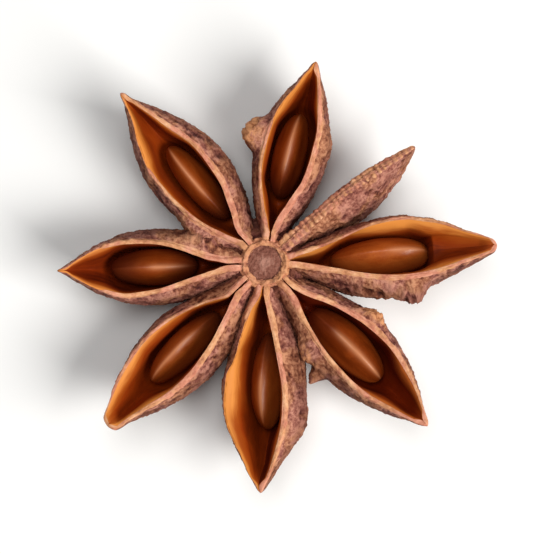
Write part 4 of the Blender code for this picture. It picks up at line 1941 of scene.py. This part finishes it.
@dataclass
class Hub(HuskPiece):
    """The column between the pockets: a sunk granular disc in a collar, and a scar below.

    A name that ends in _mm is a relief's height in millimetres, and its pitch is the size of
    its pattern. A pair says where a change starts and ends, in radii unless it says otherwise.

    Attributes:
        corner_bunching: How far the stations are bunched at the profile's corners.
        top_starts: Heights over the web's top where disc and collar start, and are whole.
        waver: How far the radius wavers, as a share of it.
        crest_span_mm: Relief over which a crest goes from bare to full.
        clear_radius: Radius to which it is drawn in under an open pocket.
        clear_turns: Turns from an arm where the drawing in starts, and is full.
    """

    sides: int = 240
    steps: int = 12
    grain_seed: int = 5
    corner_bunching: float = 0.35
    disc_radius: float = 1.22 * MM
    collar_inner: float = 1.42 * MM
    collar_outer: float = 1.85 * MM
    collar_top: float = 6.66 * MM
    collar_edges: Pair = (2.15 * MM, 1.75 * MM)
    skirt_radius: float = 2.25 * MM
    top_starts: Pair = (-0.1 * MM, 0.15 * MM)
    disc_mm: float = 0.07
    disc_pitch: float = 0.36 * MM
    collar_mm: float = 0.24
    collar_pitch: float = 0.48 * MM
    bark_mm: float = 0.10
    bark_pitch: float = 0.8 * MM
    boss_mm: float = 0.07
    boss_radius: float = 0.40 * MM
    waver: float = 0.05
    waver_pitch: float = 1.1 * MM
    waver_starts: Pair = (0.3 * MM, 1.0 * MM)
    crest_span_mm: float = 0.25
    clear_radius: float = 2.0 * MM
    clear_turns: Pair = (0.25, 0.16)

    def cleared(self, radius: Array, turn: Array) -> Array:
        """Draw the hub in to the clear radius where an open pocket's chamber crosses it.

        Args:
            radius: Radii, as a column.
            turn: Turns about the axis, as a row.

        Returns:
            The radius at each turn.
        """
        near = np.zeros_like(turn)
        for arm in ARMS:
            if arm.mouth is Mouth.OPEN:
                away = np.angle(np.exp(1j * (turn - math.radians(arm.heading))))
                near = np.maximum(near, ease(np.abs(away), *self.clear_turns))
        return radius - near * np.maximum(radius - self.clear_radius, 0.0)

    def profile(self) -> Array:
        """Corners of the hub's half-section, from the scar's middle to the disc's middle.

        Returns:
            (corners, 2) radii and heights.
        """
        s = SIZES
        return np.array(
            [
                (0.02 * s.scar_radius, s.scar_bottom + s.scar_rim),
                (0.35 * s.scar_radius, s.scar_bottom + s.scar_rim),
                (0.7 * s.scar_radius, s.scar_bottom + 0.8 * s.scar_rim),
                (0.82 * s.scar_radius, s.scar_bottom),
                (s.scar_radius, s.scar_bottom + 0.5 * s.scar_rim),
                (s.scar_radius, s.scar_shoulder),
                (0.85 * s.web_radius, 0.6 * s.scar_shoulder + 0.4 * s.web_low),
                (s.web_radius, s.web_low),
                (s.web_radius, s.web_high),
                (0.5 * (s.web_radius + self.skirt_radius), 0.35 * s.web_high + 0.65 * s.web_top),
                (self.skirt_radius, s.web_top),
                (self.collar_outer, 0.4 * s.web_top + 0.6 * self.collar_top),
                (0.5 * (self.collar_outer + self.collar_inner), self.collar_top),
                (self.collar_inner, 0.3 * s.hub_top + 0.7 * self.collar_top),
                (self.disc_radius, s.hub_top - 0.1 * MM),
                (0.8 * self.disc_radius, s.hub_top - 0.03 * MM),
                (0.4 * self.disc_radius, s.hub_top),
                (0.02 * self.disc_radius, s.hub_top),
            ]
        )

    def build(self) -> bpy.types.Object:
        """Build the mesh: the profile turned about the axis, with grains on disc and collar.

        Returns:
            The object.
        """
        corners = self.profile()
        spots = np.linspace(0.0, len(corners) - 1.0, self.steps * (len(corners) - 1) + 1)
        smooth = spots + np.sin(FULL_TURN * spots) / FULL_TURN * self.corner_bunching
        radius = np.interp(smooth, np.arange(len(corners)), corners[:, 0])[:, None]
        height = np.interp(smooth, np.arange(len(corners)), corners[:, 1])[:, None]
        turn = (np.arange(self.sides) * (FULL_TURN / self.sides))[None, :]
        grain = Grain(self.grain_seed)
        reach = self.cleared(radius, turn)
        points = np.stack([reach * np.cos(turn), reach * np.sin(turn), height + 0 * turn], axis=-1)
        waver = self.waver * grain.smooth(points / self.waver_pitch)
        waver = 1.0 + waver * ease(radius, *self.waver_starts)
        points = points * np.stack([waver, waver, np.ones_like(waver)], axis=-1)
        middle = points[[0, -1]].mean(axis=1)
        loft = Loft(points, middle[0], middle[1])
        starts, whole = self.top_starts
        above = ease(height, SIZES.web_top + starts, SIZES.web_top + whole)
        disc = above * ease(radius, self.collar_inner, self.disc_radius) + 0 * turn
        collar = above * (1.0 - disc) * ease(radius, *self.collar_edges)
        rough = grain.creases(points / self.disc_pitch, 2)
        knobs = grain.rough(points / self.collar_pitch + 9.0, 2)
        bark = grain.creases(points / self.bark_pitch + 3.0, 3)
        boss = bell(radius, 0.0, self.boss_radius) * disc
        relief = self.disc_mm * rough * disc + self.collar_mm * knobs * collar
        relief = relief + self.bark_mm * bark * (1.0 - above) + self.boss_mm * boss
        relief = relief * ease(radius / SIZES.scar_radius, 0.0, 0.15)
        loft.swell(relief * MM)
        loft.fields = {
            "disc": disc,
            "collar": collar,
            "boss": boss,
            "crest": np.clip(0.5 + relief / self.crest_span_mm, 0.0, 1.0),
            "fibre": points,
        }
        shift = np.array([SIZES.hub_x, SIZES.hub_y, 0.0])
        loft.rings = loft.rings + shift
        loft.first_pole, loft.last_pole = loft.first_pole + shift, loft.last_pole + shift
        return loft.mesh("hub")


LEFT, RIGHT = Side.LEFT, Side.RIGHT

ARMS = (
    Arm(
        "a", 130.4, 16.7, 1.97, 0.26, 2.95, 6.0, 1,
        widest=0.53, beak=1.2, beak_rise_mm=1.3, belly_beak=1.2,
        seed_at=0.475, seed_wide=0.92, seed_tone=0.06,
        left=Lip(0.7, 0.66, 0.25),
        right=Lip(shade=0.5),
        kinks=(
            Kink(LEFT, 0.66, 0.17, 0.07), Kink(LEFT, 0.88, -0.25, 0.07),
            Kink(RIGHT, 0.20, -0.5, 0.08), Kink(RIGHT, 0.32, -0.2),
            Kink(RIGHT, 0.62, 0.15, 0.10),
        ),
        lumps=(
            Lump(LEFT, 0.29, 0.75, 0.10, 0.14, 0.2, 0.5), Lump(RIGHT, 0.45, 0.15, 0.2),
        ),
    ),
    Arm(
        "b", 75.7, 15.6, 1.93, 0.35, 2.72, 5.0, 2,
        open_from=0.15, widest=0.56, beak_rise_mm=1.0, keel_lift_mm=0.15,
        seed_at=0.535, seed_shift_mm=0.15, seed_tone=-0.02,
        left=Lip(0.7, 0.67, 0.7),
        right=Lip(shade=0.6),
        kinks=(
            Kink(RIGHT, 0.23, -0.3, 0.08), Kink(RIGHT, 0.34, -0.18),
            Kink(RIGHT, 0.68, 0.12, 0.08), Kink(LEFT, 0.86, -0.15, 0.08),
        ),
        lumps=(
            Lump(LEFT, 0.60, 0.95, 0.08, 0.15, 0.15, 0.55, 0.75, 2.0),
            Lump(RIGHT, 0.60, 0.3, 0.10, 0.15, 0.2, 0.8),
        ),
    ),
    Arm(
        "c", 38.0, 14.3, 0.26, 0.5, 0.95, 21.0, 3,
        open_from=0.05, widest=0.55, beak_rise_mm=0.5, keel_lift_mm=0.7,
        mouth=Mouth.SHUT,
    ),
    Arm(
        "d", 4.5, 17.5, 2.3, 0.4, 2.9, 15.0, 4,
        open_from=0.11, widest=0.61, beak_rise_mm=1.2, tip_half_mm=0.22, shallow=0.6,
        seed_at=0.5, seed_shift_mm=0.24, seed_wide=1.16, seed_blunt=0.7,
        seed_shade=0.45, seed_tone=0.15, seed_lit=(0.55, 0.3),
        left=Lip(0.65, flare=1.3, shade=0.22),
        right=Lip(0.85, shade=0.5),
        kinks=(
            Kink(LEFT, 0.33, -0.18, 0.12), Kink(LEFT, 0.72, -0.12, 0.08),
            Kink(LEFT, 0.86, -0.2, 0.08), Kink(RIGHT, 0.86, -0.13, 0.08),
        ),
        lumps=(
            Lump(RIGHT, 0.63, 0.75, 0.06, 0.2, 0.14, 0.9, 0.15),
            Lump(RIGHT, 0.50, 0.35, 0.13, 0.2, 0.2, 0.9),
        ),
    ),
    Arm(
        "e", -45.0, 17.3, 2.07, 0.29, 2.95, 5.0, 5,
        widest=0.6, beak_rise_mm=1.5, keel_lift_mm=0.2, sombre=0.7,
        seed_at=0.51, seed_wide=1.25, seed_shade=0.8, seed_tone=-0.15,
        left=Lip(flare=0.3),
        right=Lip(shade=0.1),
        kinks=(
            Kink(LEFT, 0.21, -0.2, 0.08), Kink(RIGHT, 0.84, -0.12, 0.07),
            Kink(RIGHT, 0.2, -0.15),
        ),
        lumps=(
            Lump(LEFT, 0.51, 0.6, 0.07, 0.08, 0.1, 0.8, 0.9),
            Lump(RIGHT, 0.42, 0.45, 0.08, 0.16, 0.12, 0.9, 0.5),
            Lump(RIGHT, 0.51, 0.9, 0.03, 0.33, 0.08, 0.5, 0.35),
        ),
    ),
    Arm(
        "f", -91.2, 17.3, 2.4, -0.55, 3.1, -17.0, 6,
        widest=0.6, beak_rise_mm=0.9,
        seed_at=0.52, seed_tone=0.08, seed_lit=(0.3, 0.4),
        left=Lip(0.85, shade=1.0),
        right=Lip(0.55, 0.25, 1.2, 0.3),
        kinks=(
            Kink(LEFT, 0.4, -0.17, 0.14), Kink(RIGHT, 0.21, 0.25),
            Kink(RIGHT, 0.41, -0.17), Kink(RIGHT, 0.84, -0.27, 0.10),
            Kink(RIGHT, 0.49, 0.1, 0.03),
        ),
        lumps=(Lump(LEFT, 0.70, 0.75, 0.12, 0.25, 0.22, 0.15),),
    ),
    Arm(
        "g", -133.9, 17.0, 2.2, -0.36, 2.9, -10.0, 7,
        open_from=0.18, widest=0.61, beak=0.85, beak_rise_mm=1.4, keel_lift_mm=0.1,
        tip_half_mm=0.42, seed_at=0.52, seed_shift_mm=-0.2, seed_tone=0.16,
        right=Lip(0.7, flare=0.8),
        kinks=(
            Kink(RIGHT, 0.2, -0.35, 0.08), Kink(LEFT, 0.9, -0.2, 0.08),
            Kink(LEFT, 0.80, -0.12, 0.06),
        ),
    ),
    Arm(
        "h", 182.2, 15.6, 2.0, 0.0, 2.85, 0.0, 8,
        open_from=0.18, widest=0.63, beak_rise_mm=0.8, sombre=0.3,
        seed_at=0.54, seed_wide=1.12, seed_lit=(-0.35, 0.4), seed_dim=1.0,
        left=Lip(0.85, 0.78, shade=0.35),
        right=Lip(1.0, 0.78, shade=0.35),
        kinks=(
            Kink(LEFT, 0.4, -0.1, 0.15), Kink(RIGHT, 0.3, -0.15, 0.1),
            Kink(LEFT, 0.68, 0.09), Kink(LEFT, 0.93, -0.2, 0.07),
            Kink(RIGHT, 0.93, -0.15, 0.07),
        ),
        lumps=(Lump(RIGHT, 0.30, 0.75, 0.11, 0.12, 0.2, 0.5),),
    ),
)


# ---------------------------------------------------------------- studio


@dataclass
class Lamp:
    """A square soft lamp that points at the pod."""

    name: str
    place: Three
    size: float
    power: float
    colour: Colour = WHITE

    def build(self) -> None:
        """Hang the lamp."""
        light = bpy.data.lights.new(self.name, "AREA")
        light.shape = "SQUARE"
        light.size = self.size
        light.energy = self.power
        light.color = self.colour
        item = new_item(self.name, light)
        item.location = self.place
        item.rotation_euler = (-Vector(self.place)).to_track_quat("-Z", "Y").to_euler()


@dataclass
class Studio:
    """Floor, lamps and a camera that looks straight down."""

    floor_half: float = 0.6
    floor_drop: float = 0.02 * MM
    frame_wide: float = 41.5 * MM
    lens: float = 220.0
    clip: Pair = (0.01, 10.0)
    sky: float = 0.16
    lamps: tuple[Lamp, ...] = (
        Lamp("key", (0.27, -0.13, 0.34), 0.26, 2.2, (1.0, 0.985, 0.96)),
        Lamp("top", (-0.04, 0.10, 0.50), 0.22, 0.9),
    )

    def point_camera(self) -> None:
        """Place the camera above the middle of the model's box, at the height that frames it."""
        low, high = (Vector(corner) for corner in CAD_BOX)
        data = bpy.data.cameras.new("camera")
        data.lens = self.lens
        data.clip_start, data.clip_end = self.clip
        item = new_item("camera", data)
        middle = 0.5 * (low + high)
        above = self.frame_wide * self.lens / data.sensor_width
        item.location = (middle.x, middle.y, high.z + above)
        bpy.context.scene.camera = item

    def lay_floor(self) -> None:
        """Lay the tabletop just under the pod."""
        half, corners = self.floor_half, ((-1, -1), (1, -1), (1, 1), (-1, 1))
        square = [(x * half, y * half, -self.floor_drop) for x, y in corners]
        mesh = bpy.data.meshes.new("floor")
        mesh.from_pydata(square, [], [(0, 1, 2, 3)])
        mesh.materials.append(FloorFinish().make())
        new_item("floor", mesh)

    def light(self) -> None:
        """Set the plain sky and hang the lamps."""
        world = bpy.data.worlds.new("sky")
        world.use_nodes = True
        sky = world.node_tree.nodes["Background"]
        sky.inputs["Color"].default_value = (*WHITE, 1.0)
        sky.inputs["Strength"].default_value = self.sky
        bpy.context.scene.world = world
        for lamp in self.lamps:
            lamp.build()
        bpy.context.scene.view_settings.view_transform = "Standard"


def main() -> None:
    """Build the studio, the hub, the pockets and the seeds, in that order."""
    logging.basicConfig(level=logging.INFO, format="%(name)s: %(message)s")
    studio = Studio()
    studio.point_camera()
    studio.lay_floor()
    studio.light()

    skin, coat = HuskFinish().make(), SeedFinish().make()
    hub = Hub()
    piece = hub.build()
    hub.dress(piece, HubFinish().make())
    log.info("%s has %d points", piece.name, len(piece.data.vertices))
    for arm in ARMS:
        pocket = Pocket(arm)
        piece = pocket.build()
        pocket.dress(piece, skin)
        log.info("%s has %d points", piece.name, len(piece.data.vertices))
        if arm.mouth is Mouth.OPEN:
            seed = Seed(arm)
            kernel = seed.build()
            seed.dress(kernel, coat)


if __name__ == "__main__":
    main()
